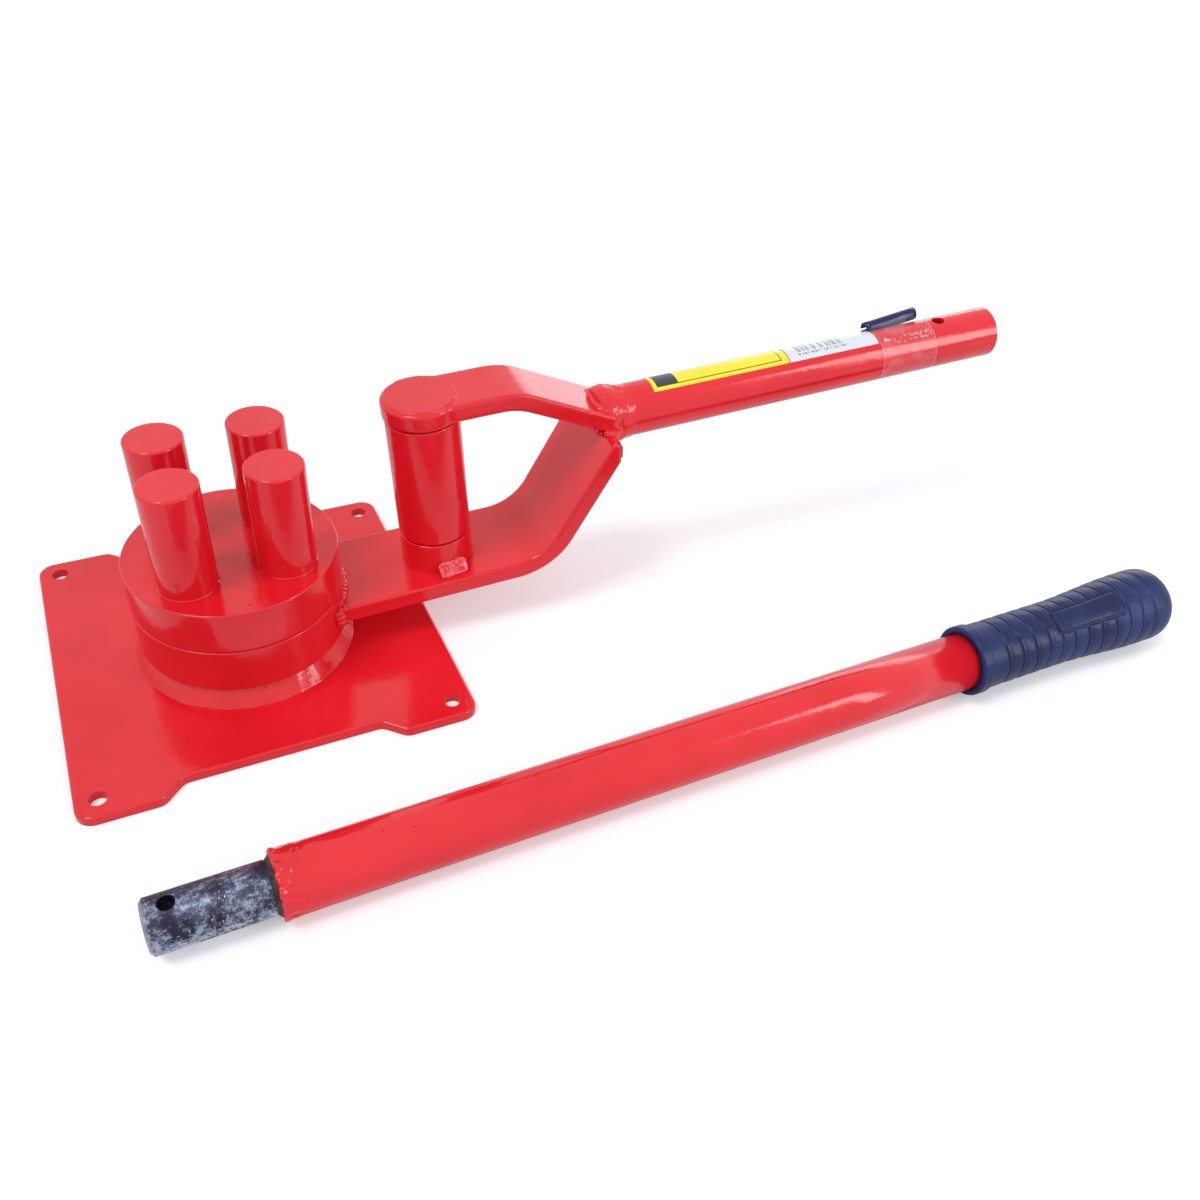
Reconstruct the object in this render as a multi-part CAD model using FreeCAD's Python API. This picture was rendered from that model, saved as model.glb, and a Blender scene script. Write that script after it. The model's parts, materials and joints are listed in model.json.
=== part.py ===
"""Hand-operated rod bender: a drum with four bending pins on a bolted base, a swinging forked arm
with a roller, and a loose extension lever that lies on the floor in front of the base.

Row frame: millimetres, +Z up, +X towards the arm's end, origin on the hub axis at the floor.
The arm's own frame has its X along the arm, Y across it and Z square to the bars; its origin is
on the hub axis, level with the top face of the lower bar.
"""
import FreeCAD, Part
import math
import os

V = FreeCAD.Vector
UP = V(0, 0, 1)
ALONG = V(1, 0, 0)

# ---- fits and small clearances --------------------------------------------------------------
RUNNING_FIT = 0.05        # radial gap of a shaft that turns in its bush
SLIDING_FIT = 0.10        # radial gap of the spigot in the arm tube
SEAM = 0.45               # visible seam above and below the swing ring

# ---- base plate -----------------------------------------------------------------------------
PLATE_LENGTH = 203.0      # along X
PLATE_WIDTH = 207.0       # along Y, over the ears
PLATE_THICK = 5.0
PLATE_EDGE_ROUND = 1.6    # of the plate's upper edge
RECESS_DEPTH = 10.5       # how far the front and back edges step in between the ears
RECESS_HALF = 50.5        # half-length of the straight edge between the ears
EAR_SLOPE = 11.0          # run of the slope that joins recess and ear
CORNER_ROUND = 9.0
EAR_ROUND = 7.0
HOLE_SPACING_X = 180.0
HOLE_SPACING_Y = 183.0
HOLE_RADIUS = 4.5

# ---- drum -----------------------------------------------------------------------------------
DRUM_RADIUS = 55.7
FLANGE_HEIGHT = 10.4
FLANGE_LIP = 0.5          # thickness of the weld at the flange's upper edge
FLANGE_WELD_FOOT = 2.9    # how far the flange weld spreads on the plate
RING_HEIGHT = 26.3
DISC_HEIGHT = 24.5
POST_RADIUS = 30.0
POST_SPIGOT_RADIUS = 20.0
POST_SPIGOT_HEIGHT = 14.0
POST_WELD_LEG = 3.0
BUSH_WALL = 3.0
WASHER_RADIUS = 46.0      # thrust washers above and below the ring
WASHER_THICK = 2.0
WASHER_PLAY = 0.10        # end play at each washer
WASHER_ROOM = 0.30        # radial room round each washer
EDGE_CHAMFER = 0.8

# ---- bending pins ---------------------------------------------------------------------------
PIN_RADIUS = 15.0
PIN_HEIGHT = 60.7
PIN_SPACING_X = 50.6
PIN_SPACING_Y = 44.0
PIN_SHANK_RADIUS = 10.0
PIN_SHANK_LENGTH = 18.0
PIN_CHAMFER = 1.0

# ---- arm frame ------------------------------------------------------------------------------
ARM_TURN = -2.44          # degrees about Z at rest
ARM_RISE = 3.45           # degrees, outwards and upwards
ARM_LEVEL = 31.4          # height of the lower bar's top face at the hub axis

# ---- lower bar of the fork ------------------------------------------------------------------
LOWER_WIDTH = 60.0
LOWER_THICK = 10.0
LOWER_KNEE = 168.2        # where the two straight top faces would meet
LOWER_BEND = 57.5         # degrees
LOWER_BEND_RADIUS = 30.0  # inside, on the top face

# ---- upper bar of the fork ------------------------------------------------------------------
UPPER_WIDTH = 35.0
EYE_RADIUS = 21.0         # the round end of the upper bar, over the roller
EYE_NECK_ROUND = 14.0     # where the eye runs into the bar
UPPER_THICK = 10.0
FORK_GAP = 93.5           # clear height between the two bars
UPPER_KNEE = 162.3
UPPER_BEND = 27.4         # degrees, downwards
UPPER_BEND_RADIUS = 45.0  # outside, on the top face
FORK_END = 216.0          # both bars are trimmed here, and the tube butts against them

# ---- arm tube -------------------------------------------------------------------------------
TUBE_AXIS = 67.3          # height of the tube's axis above the lower bar's top face
TUBE_RADIUS = 15.0
TUBE_WALL = 2.0
TUBE_END = 476.0
LOCK_HOLE_RADIUS = 4.0
LOCK_HOLE_INSET = 37.0    # from the tube's end
APEX_WELD_LENGTH = 14.0
APEX_WELD_SWELL = 2.6

# ---- roller ---------------------------------------------------------------------------------
ROLLER_PLACE = 112.6
ROLLER_RADIUS = 20.0
COLLAR_HEIGHT = 18.4
AXLE_RADIUS = 10.0
ROLLER_BUSH_WALL = 2.5
ROLLER_WASHER = 0.9
ROLLER_PLAY = 0.10        # end play at each washer
ROLLER_WASHER_RADIUS = 17.0
AXLE_HEAD_RADIUS = 18.5
AXLE_HEAD_THICK = 4.0
AXLE_HEAD_PROUD = 0.8
PATCH_TURN = -82.0        # degrees round the collar, from along the arm
PATCH_WIDTH = 16.5
PATCH_HEIGHT = 7.5
PATCH_LEG = 5.5           # how far the weld patch spreads on the bar
PATCH_LIP = 1.0           # its thickness at the top

# ---- welds of the bars ----------------------------------------------------------------------
RING_WELD_LEG = 6.0       # at the sides of the lower bar, on the ring
RING_WELD_RISE = 3.6      # above the lower bar
FORK_WELD_LEG = 4.5       # where the lower bar meets the upper one

# ---- labels, tape and the taped-on locking pin ----------------------------------------------
LABEL_THICK = 0.2
LABEL_YELLOW = (244.0, 331.0)     # from, to, along the arm
LABEL_WHITE = (332.0, 392.0)
LABEL_ARC = (22.0, 122.0)         # degrees about the tube, from the back over the top
TAPE_SPAN = (393.0, 431.0)
TAPE_ARC = (80.0, 395.0)          # degrees, open where the locking pin lies
LOCK_PIN_RADIUS = 3.8
LOCK_PIN_BORE = 2.3
LOCK_PIN_SLIT = 1.2
LOCK_PIN_LENGTH = 36.0
LOCK_PIN_TURN = 57.0              # degrees about the tube

# ---- loose extension lever ------------------------------------------------------------------
LEVER_OFFSET = -181.6     # Y of its axis
LEVER_START = -23.3       # X where its red tube begins
LEVER_TUBE_RADIUS = 16.0
LEVER_TUBE_WALL = 3.5
SPIGOT_EXPOSED = 56.0
SPIGOT_INSIDE = 60.0
SPIGOT_CHAMFER = 1.6
SPIGOT_HOLE_GAP = 8.0     # shoulder to arm tube once the locking pin is in
SPIGOT_WELD = 2.5
SPIGOT_NECK = 3.0         # from the red tube to the end of the sliding length
GRIP_START = 383.0        # from the red tube's left end
GRIP_LENGTH = 148.0
GRIP_WAIST_RADIUS = 18.8
GRIP_RIM_RADIUS = 20.0
GRIP_RIM_LENGTH = 7.0
GRIP_BULGE_RADIUS = 21.8
GRIP_BULGE_PLACE = 128.0  # from the grip's rim to its thickest place
GRIP_CAP = 8.0            # rubber between the tube's end and the grip's end
GRIP_END_ROUND = 12.0

# ---- heights and sizes that follow ----------------------------------------------------------
FLANGE_TOP = PLATE_THICK + FLANGE_HEIGHT
RING_BOTTOM = FLANGE_TOP + SEAM
RING_TOP = RING_BOTTOM + RING_HEIGHT
DISC_BOTTOM = RING_TOP + SEAM
DISC_TOP = DISC_BOTTOM + DISC_HEIGHT
BUSH_RADIUS = POST_RADIUS + RUNNING_FIT + BUSH_WALL
WASHER_POCKET = WASHER_THICK - SEAM + WASHER_PLAY
UPPER_TOP = FORK_GAP + UPPER_THICK
ROLLER_BOTTOM = COLLAR_HEIGHT + ROLLER_WASHER + ROLLER_PLAY
ROLLER_TOP = FORK_GAP - ROLLER_WASHER - ROLLER_PLAY
ROLLER_BUSH_RADIUS = AXLE_RADIUS + RUNNING_FIT + ROLLER_BUSH_WALL
LOCK_HOLE_PLACE = TUBE_END - LOCK_HOLE_INSET
TUBE_BORE = TUBE_RADIUS - TUBE_WALL
SPIGOT_RADIUS = TUBE_BORE - SLIDING_FIT
LEVER_TUBE_LENGTH = GRIP_START + GRIP_LENGTH - GRIP_CAP
LEVER_TILT = math.atan2(GRIP_BULGE_RADIUS - LEVER_TUBE_RADIUS, GRIP_START + GRIP_BULGE_PLACE)
SPIGOT_HOLE_PLACE = LOCK_HOLE_INSET + SPIGOT_HOLE_GAP
OVERRUN = 1.0             # how far a cutting tool runs past a face

ARM_FRAME = FreeCAD.Placement(
    V(0, 0, ARM_LEVEL),
    FreeCAD.Rotation(V(0, 0, 1), ARM_TURN) * FreeCAD.Rotation(V(0, 1, 0), -ARM_RISE))


def save(node, *solids):
    """Write one node: its solids, checked, as parts/NODE.step."""
    for solid in solids:
        assert solid.isValid() and solid.Volume > 0, node
    shape = solids[0] if len(solids) == 1 else Part.makeCompound(list(solids))
    shape.exportStep("parts/%s.step" % node)
    print("%-22s %9.1f mm3" % (node, shape.Volume))


def on_arm(shape):
    """The shape, moved from the arm's frame to the row frame."""
    return shape.transformed(ARM_FRAME.toMatrix())


def one(shape):
    """The single solid of a boolean's result, with its seams merged."""
    merged = shape.removeSplitter()
    assert len(merged.Solids) == 1
    return merged.Solids[0]


def line(start, end):
    return Part.LineSegment(start, end).toShape()


def arc(points):
    return Part.Arc(*points).toShape()


def rod(radius, length, foot, along=UP):
    return Part.makeCylinder(radius, length, foot, along)


def pipe(outer, inner, length, foot, along=UP):
    return rod(outer, length, foot, along).cut(rod(inner, length, foot, along))


def chamfered_rod(radius, length, foot, chamfer):
    """An upright rod with its top edge chamfered."""
    body = rod(radius, length, foot)
    top = [edge for edge in body.Edges
           if edge.BoundBox.ZMin > foot.z + length - 0.001 and edge.BoundBox.XLength > radius]
    return body.makeChamfer(chamfer, top)


def turned(profile, foot, along):
    """A solid turned about the line through foot, from (distance along, radius) points."""
    across = UP if abs(along.z) < 0.5 else ALONG
    points = [foot + along * place + across * radius for place, radius in profile]
    face = Part.Face(Part.makePolygon(points + points[:1]))
    return outward(face.revolve(foot, along, 360))


def outward(solid):
    """The solid with its faces pointing outwards."""
    return solid if solid.Volume > 0 else solid.reversed()


def bar_from_side(outline, width):
    """A bar of the arm: an outline in the arm's XZ plane, as edges, given its width across Y."""
    face = Part.Face(Part.Wire(outline))
    face.translate(V(0, -width / 2, 0))
    return face.extrude(V(0, width, 0))


# ---- base -----------------------------------------------------------------------------------
def plate_outline():
    """The corner points of the plate with the radius of each, anticlockwise."""
    half_x = PLATE_LENGTH / 2
    half_y = PLATE_WIDTH / 2
    quarter = [(half_x, half_y, CORNER_ROUND),
               (RECESS_HALF + EAR_SLOPE, half_y, EAR_ROUND),
               (RECESS_HALF, half_y - RECESS_DEPTH, EAR_ROUND)]
    corners = []
    for sign_x, sign_y in ((1, 1), (-1, 1), (-1, -1), (1, -1)):
        order = quarter if sign_x * sign_y > 0 else quarter[::-1]
        for x, y, radius in order:
            corners.append((V(sign_x * x, sign_y * y, 0), radius))
    return corners


def rounded_face(corners):
    """A flat face from corner points, each rounded to its own radius."""
    count = len(corners)
    turns = []
    for index in range(count):
        corner, radius = corners[index]
        to_before = (corners[index - 1][0] - corner).normalize()
        to_after = (corners[(index + 1) % count][0] - corner).normalize()
        half = to_before.getAngle(to_after) / 2
        reach = radius / math.tan(half)
        middle = (to_before + to_after).normalize()
        crown = corner + middle * (radius / math.sin(half) - radius)
        turns.append((corner + to_before * reach, crown, corner + to_after * reach))
    edges = []
    for index in range(count):
        enter, crown, leave = turns[index]
        edges.append(Part.Arc(enter, crown, leave).toShape())
        edges.append(Part.LineSegment(leave, turns[(index + 1) % count][0]).toShape())
    return Part.Face(Part.Wire(edges))


def make_plate():
    """The bolted plate, and the weld that fills the seat round the post underneath."""
    plate = rounded_face(plate_outline()).extrude(V(0, 0, PLATE_THICK))
    rim = [edge for edge in plate.Edges if edge.BoundBox.ZMin > PLATE_THICK - 0.001]
    plate = plate.makeFillet(PLATE_EDGE_ROUND, rim)
    through = PLATE_THICK + 2 * OVERRUN
    for sign_x in (-1, 1):
        for sign_y in (-1, 1):
            foot = V(sign_x * HOLE_SPACING_X / 2, sign_y * HOLE_SPACING_Y / 2, -OVERRUN)
            plate = plate.cut(rod(HOLE_RADIUS, through, foot))
    plate = plate.cut(rod(POST_RADIUS, through, V(0, 0, -OVERRUN)))
    seat = turned([(0, POST_RADIUS), (0, POST_RADIUS + POST_WELD_LEG), (POST_WELD_LEG, POST_RADIUS)],
                  V(0, 0, 0), UP)
    save("base_plate", one(plate.cut(seat)))
    save("post_weld", seat)


def make_drum():
    """The flange and its weld, the post, and the top disc with its four bending pins."""
    foot = V(0, 0, PLATE_THICK)
    flange_radius = DRUM_RADIUS - FLANGE_LIP
    save("base_flange", pipe(flange_radius, POST_RADIUS, FLANGE_HEIGHT, foot))
    save("flange_weld", turned([(0, flange_radius), (0, DRUM_RADIUS + FLANGE_WELD_FOOT),
                                (FLANGE_HEIGHT - FLANGE_LIP, DRUM_RADIUS),
                                (FLANGE_HEIGHT, flange_radius)], foot, UP))

    post = rod(POST_RADIUS, DISC_BOTTOM, V(0, 0, 0))
    post = post.fuse(rod(POST_SPIGOT_RADIUS, POST_SPIGOT_HEIGHT, V(0, 0, DISC_BOTTOM)))
    save("centre_post", one(post))

    disc = chamfered_rod(DRUM_RADIUS, DISC_HEIGHT, V(0, 0, DISC_BOTTOM), EDGE_CHAMFER)
    disc = disc.cut(rod(POST_SPIGOT_RADIUS, POST_SPIGOT_HEIGHT, V(0, 0, DISC_BOTTOM)))
    corners = {"front_left": (-1, -1), "front_right": (1, -1),
               "back_left": (-1, 1), "back_right": (1, 1)}
    for corner, (sign_x, sign_y) in corners.items():
        place = V(sign_x * PIN_SPACING_X / 2, sign_y * PIN_SPACING_Y / 2, DISC_TOP)
        shank = rod(PIN_SHANK_RADIUS, PIN_SHANK_LENGTH, place - UP * PIN_SHANK_LENGTH)
        disc = disc.cut(shank)
        pin = chamfered_rod(PIN_RADIUS, PIN_HEIGHT, place, PIN_CHAMFER)
        save("bend_pin_" + corner, one(pin.fuse(shank)))
    save("top_disc", one(disc))


# ---- swing ring -----------------------------------------------------------------------------
def make_ring():
    """The ring that swings on the post, its bush, and the thrust washer in each of its faces."""
    ring = pipe(DRUM_RADIUS, BUSH_RADIUS, RING_HEIGHT, V(0, 0, RING_BOTTOM))
    pocket_radius = WASHER_RADIUS + WASHER_ROOM
    for pocket in (V(0, 0, RING_BOTTOM), V(0, 0, RING_TOP - WASHER_POCKET)):
        ring = ring.cut(rod(pocket_radius, WASHER_POCKET, pocket))
    save("swing_ring", one(ring))
    bush_foot = V(0, 0, RING_BOTTOM + WASHER_POCKET)
    bush_height = RING_HEIGHT - 2 * WASHER_POCKET
    save("ring_bush", pipe(BUSH_RADIUS, POST_RADIUS + RUNNING_FIT, bush_height, bush_foot))
    washer_bore = POST_RADIUS + WASHER_ROOM
    for name, level in (("lower", FLANGE_TOP), ("upper", RING_TOP - WASHER_POCKET)):
        washer = pipe(WASHER_RADIUS, washer_bore, WASHER_THICK, V(0, 0, level))
        save("ring_washer_" + name, washer)


# ---- fork -----------------------------------------------------------------------------------
def upper_face(x, below=0.0):
    """Height of the upper bar's sloping top face at x, or of a line square below it."""
    slope = math.radians(UPPER_BEND)
    return UPPER_TOP - (x - UPPER_KNEE) * math.tan(slope) - below / math.cos(slope)


def lower_face(x, below=0.0):
    """Height of the lower bar's sloping inner face at x, or of a line square below it."""
    slope = math.radians(LOWER_BEND)
    return (x - LOWER_KNEE) * math.tan(slope) - below / math.cos(slope)


def fork_corner():
    """Where the lower bar's inner face meets the upper bar's underside."""
    lower = math.tan(math.radians(LOWER_BEND))
    upper = math.tan(math.radians(UPPER_BEND))
    underside = UPPER_TOP - UPPER_THICK / math.cos(math.radians(UPPER_BEND))
    x = (underside + UPPER_KNEE * upper + LOWER_KNEE * lower) / (lower + upper)
    return V(x, 0, lower_face(x))


def bend_arc(knee, turn, radius, shift):
    """The arc of a bend: three points, square to the knee's two faces and shifted outwards."""
    angle = math.radians(turn)
    reach = abs(radius * math.tan(angle / 2))
    side = 1 if turn > 0 else -1
    centre = V(knee.x - reach, 0, knee.z + side * radius)
    points = []
    for share in (0.0, 0.5, 1.0):
        swing = angle * share
        away = V(math.sin(swing), 0, -math.cos(swing)) * side
        points.append(centre + away * (radius + shift))
    return points


def lower_outline():
    """Side view of the lower bar, from inside the drum to the fork's end."""
    start = DRUM_RADIUS / 2
    knee = V(LOWER_KNEE, 0, 0)
    inner = bend_arc(knee, LOWER_BEND, LOWER_BEND_RADIUS, 0.0)
    outer = bend_arc(knee, LOWER_BEND, LOWER_BEND_RADIUS, LOWER_THICK)
    corner = fork_corner()
    tip = V(FORK_END, 0, upper_face(FORK_END, UPPER_THICK))
    heel = V(FORK_END, 0, lower_face(FORK_END, LOWER_THICK))
    begin = V(start, 0, 0)
    below = V(start, 0, -LOWER_THICK)
    return [line(begin, inner[0]), arc(inner), line(inner[2], corner), line(corner, tip),
            line(tip, heel), line(heel, outer[2]), arc(outer[::-1]), line(outer[0], below),
            line(below, begin)]


def upper_outline():
    """Side view of the upper bar, from its tip to the fork's end."""
    knee = V(UPPER_KNEE, 0, UPPER_TOP)
    top = bend_arc(knee, -UPPER_BEND, UPPER_BEND_RADIUS, 0.0)
    under = bend_arc(knee, -UPPER_BEND, UPPER_BEND_RADIUS, -UPPER_THICK)
    tip = ROLLER_PLACE - EYE_RADIUS
    high = V(tip, 0, UPPER_TOP)
    low = V(tip, 0, FORK_GAP)
    end_high = V(FORK_END, 0, upper_face(FORK_END))
    end_low = V(FORK_END, 0, upper_face(FORK_END, UPPER_THICK))
    return [line(high, top[0]), arc(top), line(top[2], end_high), line(end_high, end_low),
            line(end_low, under[2]), arc(under[::-1]), line(under[0], low), line(low, high)]


def eye_plan():
    """Plan of the upper bar: the eye, two hollow neck arcs that touch it, and the straight bar."""
    half = UPPER_WIDTH / 2
    rise = half + EYE_NECK_ROUND
    reach = math.sqrt((EYE_RADIUS + EYE_NECK_ROUND) ** 2 - rise ** 2)
    share = EYE_RADIUS / (EYE_RADIUS + EYE_NECK_ROUND)
    leave = V(ROLLER_PLACE + reach * share, rise * share, 0)
    join = V(ROLLER_PLACE + reach, half, 0)
    neck = V(ROLLER_PLACE + reach, rise, 0)
    middle = neck + (((leave + join) * 0.5) - neck).normalize() * EYE_NECK_ROUND
    crown = V(ROLLER_PLACE - EYE_RADIUS, 0, 0)
    end = V(FORK_END, half, 0)
    mirrored = [V(point.x, -point.y, 0) for point in (leave, middle, join, end)]
    return Part.Face(Part.Wire([
        arc([leave, crown, mirrored[0]]), arc(mirrored[:3]), line(mirrored[2], mirrored[3]),
        line(mirrored[3], end), line(end, join), arc([join, middle, leave])]))


def make_fork():
    """The two bars of the fork, and the welds that hold them to the ring and to each other."""
    axle_hole = rod(AXLE_RADIUS, UPPER_TOP + LOWER_THICK + 2 * OVERRUN,
                    V(ROLLER_PLACE, 0, -LOWER_THICK - OVERRUN))
    drum = rod(DRUM_RADIUS, RING_HEIGHT * 3, V(0, 0, RING_BOTTOM - RING_HEIGHT))
    lower = on_arm(bar_from_side(lower_outline(), LOWER_WIDTH).cut(axle_hole)).cut(drum)
    save("lower_fork_bar", one(lower))

    upper = bar_from_side(upper_outline(), 2 * EYE_RADIUS)
    upper = upper.common(eye_plan().extrude(V(0, 0, UPPER_TOP + OVERRUN))).cut(axle_hole)
    head_seat = V(ROLLER_PLACE, 0, UPPER_TOP + AXLE_HEAD_PROUD - AXLE_HEAD_THICK)
    upper = upper.cut(rod(AXLE_HEAD_RADIUS, AXLE_HEAD_THICK + OVERRUN, head_seat))
    save("upper_fork_bar", on_arm(one(upper)))

    save("ring_weld", *ring_welds(drum, lower))
    save("fork_weld", *[on_arm(weld) for weld in fork_welds()])


def ring_welds(drum, lower):
    """A fillet at each side of the lower bar and one over its top, all against the ring."""
    half = LOWER_WIDTH / 2
    reach = math.sqrt(DRUM_RADIUS ** 2 - half ** 2)
    spread = math.atan2(half, reach) + RING_WELD_LEG * 1.4 / DRUM_RADIUS
    welds = []
    for side in (-1, 1):
        corner = V(reach - OVERRUN, side * half, -LOWER_THICK)
        far = V(reach + RING_WELD_LEG, side * half, -LOWER_THICK)
        back = V(DRUM_RADIUS * math.cos(spread), side * DRUM_RADIUS * math.sin(spread), -LOWER_THICK)
        face = Part.Face(Part.makePolygon([corner, far, back, corner]))
        welds.append(one(on_arm(face.extrude(V(0, 0, LOWER_THICK))).cut(drum)))
    level = ARM_LEVEL + DRUM_RADIUS * math.sin(math.radians(ARM_RISE))
    cone = turned([(-RING_WELD_RISE, DRUM_RADIUS), (-RING_WELD_RISE, DRUM_RADIUS + 2 * RING_WELD_RISE),
                   (RING_WELD_RISE, DRUM_RADIUS)], V(0, 0, level), UP)
    above = Part.makeBox(2 * DRUM_RADIUS, LOWER_WIDTH, LOWER_THICK, V(0, -half, 0))
    welds.append(one(cone.common(on_arm(above)).cut(lower)))
    return welds


def fork_welds():
    """A fillet in the inner corner of the fork, and one on the ledge at each side of it."""
    corner = fork_corner()
    slope = math.radians(LOWER_BEND)
    fall = math.radians(UPPER_BEND)
    down = corner - V(math.cos(slope), 0, math.sin(slope)) * FORK_WELD_LEG
    back = corner + V(-math.cos(fall), 0, math.sin(fall)) * FORK_WELD_LEG
    inner = bar_from_side([line(corner, down), line(down, back), line(back, corner)], UPPER_WIDTH)
    along = V(FORK_END, 0, upper_face(FORK_END, UPPER_THICK)) - corner
    rise = V(-along.z, 0, along.x).normalize()
    past = Part.makeBox(LOWER_WIDTH, LOWER_WIDTH, UPPER_TOP, V(FORK_END, -LOWER_WIDTH / 2, 0))
    welds = [inner]
    for side in (-1, 1):
        foot = corner + V(0, side * UPPER_WIDTH / 2, 0)
        out = foot + V(0, side * FORK_WELD_LEG, 0)
        high = foot + rise * FORK_WELD_LEG
        ledge = Part.Face(Part.makePolygon([foot, out, high, foot])).extrude(along)
        welds.append(one(ledge.cut(past)))
    return welds


# ---- arm tube -------------------------------------------------------------------------------
def wrap(span, arc_span, thick, radius):
    """A thin sheet round the arm tube: its span along the tube and its arc in degrees."""
    start = V(span[0], 0, TUBE_AXIS)
    points = [start + V(0, reach, 0) for reach in (radius, radius + thick)]
    points += [point + V(span[1] - span[0], 0, 0) for point in points[::-1]]
    face = Part.Face(Part.makePolygon(points + points[:1]))
    face.rotate(start, V(1, 0, 0), arc_span[0])
    return face.revolve(start, V(1, 0, 0), arc_span[1] - arc_span[0])


def make_tube():
    """The arm tube with its crosswise locking hole, its weld, labels, tape and spare pin."""
    start = V(FORK_END, 0, TUBE_AXIS)
    tube = pipe(TUBE_RADIUS, TUBE_BORE, TUBE_END - FORK_END, start, ALONG)
    hole_foot = V(LOCK_HOLE_PLACE, 0, TUBE_AXIS - TUBE_RADIUS - OVERRUN)
    tube = tube.cut(rod(LOCK_HOLE_RADIUS, 2 * (TUBE_RADIUS + OVERRUN), hole_foot))
    save("arm_tube", on_arm(one(tube)))
    swell = TUBE_RADIUS + APEX_WELD_SWELL
    weld = turned([(0, TUBE_RADIUS), (0, swell), (APEX_WELD_SWELL, swell),
                   (APEX_WELD_LENGTH, TUBE_RADIUS)], start, ALONG)
    save("tube_weld", on_arm(weld))
    save("label_long", on_arm(wrap(LABEL_YELLOW, LABEL_ARC, LABEL_THICK, TUBE_RADIUS)))
    save("label_short", on_arm(wrap(LABEL_WHITE, LABEL_ARC, LABEL_THICK, TUBE_RADIUS)))
    save("clear_tape", on_arm(wrap(TAPE_SPAN, TAPE_ARC, LABEL_THICK, TUBE_RADIUS)))

    away = V(0, math.cos(math.radians(LOCK_PIN_TURN)), math.sin(math.radians(LOCK_PIN_TURN)))
    foot = V(TAPE_SPAN[0], 0, TUBE_AXIS) + away * (TUBE_RADIUS + LOCK_PIN_RADIUS)
    pin = pipe(LOCK_PIN_RADIUS, LOCK_PIN_BORE, LOCK_PIN_LENGTH, foot, ALONG)
    slit = Part.makeBox(LOCK_PIN_LENGTH + 2 * OVERRUN, LOCK_PIN_SLIT, LOCK_PIN_RADIUS + OVERRUN,
                        V(-OVERRUN, -LOCK_PIN_SLIT / 2, 0))
    slit.Placement = FreeCAD.Placement(foot, FreeCAD.Rotation(ALONG, LOCK_PIN_TURN - 90))
    save("lock_pin", on_arm(one(pin.cut(slit))))


# ---- roller ---------------------------------------------------------------------------------
def make_roller():
    """The roller on its axle between the bars, with the collar and washers that space it."""
    centre = V(ROLLER_PLACE, 0, 0)
    collar = pipe(ROLLER_RADIUS, AXLE_RADIUS, COLLAR_HEIGHT, centre)
    save("roller_collar", on_arm(collar))
    section = [V(0, 0, 0), V(ROLLER_RADIUS + PATCH_LEG, 0, 0),
               V(ROLLER_RADIUS + PATCH_LIP, 0, PATCH_HEIGHT), V(0, 0, PATCH_HEIGHT)]
    patch = bar_from_side([line(*ends) for ends in zip(section, section[1:] + section[:1])],
                          PATCH_WIDTH)
    patch = patch.cut(rod(ROLLER_RADIUS, PATCH_HEIGHT, V(0, 0, 0)))
    patch.Placement = FreeCAD.Placement(centre, FreeCAD.Rotation(UP, PATCH_TURN))
    save("collar_patch", on_arm(one(patch)))

    head_bottom = UPPER_TOP + AXLE_HEAD_PROUD - AXLE_HEAD_THICK
    axle = rod(AXLE_RADIUS, head_bottom + LOWER_THICK, centre - UP * LOWER_THICK)
    save("roller_axle", on_arm(axle))
    head = chamfered_rod(AXLE_HEAD_RADIUS, AXLE_HEAD_THICK, centre + UP * head_bottom, EDGE_CHAMFER / 2)
    save("axle_head", on_arm(head))

    for name, level in (("lower", COLLAR_HEIGHT), ("upper", FORK_GAP - ROLLER_WASHER)):
        washer = pipe(ROLLER_WASHER_RADIUS, AXLE_RADIUS, ROLLER_WASHER, centre + UP * level)
        save("roller_washer_" + name, on_arm(washer))
    foot = centre + UP * ROLLER_BOTTOM
    height = ROLLER_TOP - ROLLER_BOTTOM
    save("roller_sleeve", on_arm(pipe(ROLLER_RADIUS, ROLLER_BUSH_RADIUS, height, foot)))
    bush = pipe(ROLLER_BUSH_RADIUS, AXLE_RADIUS + RUNNING_FIT, height, foot)
    save("roller_bush", on_arm(bush))


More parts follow.
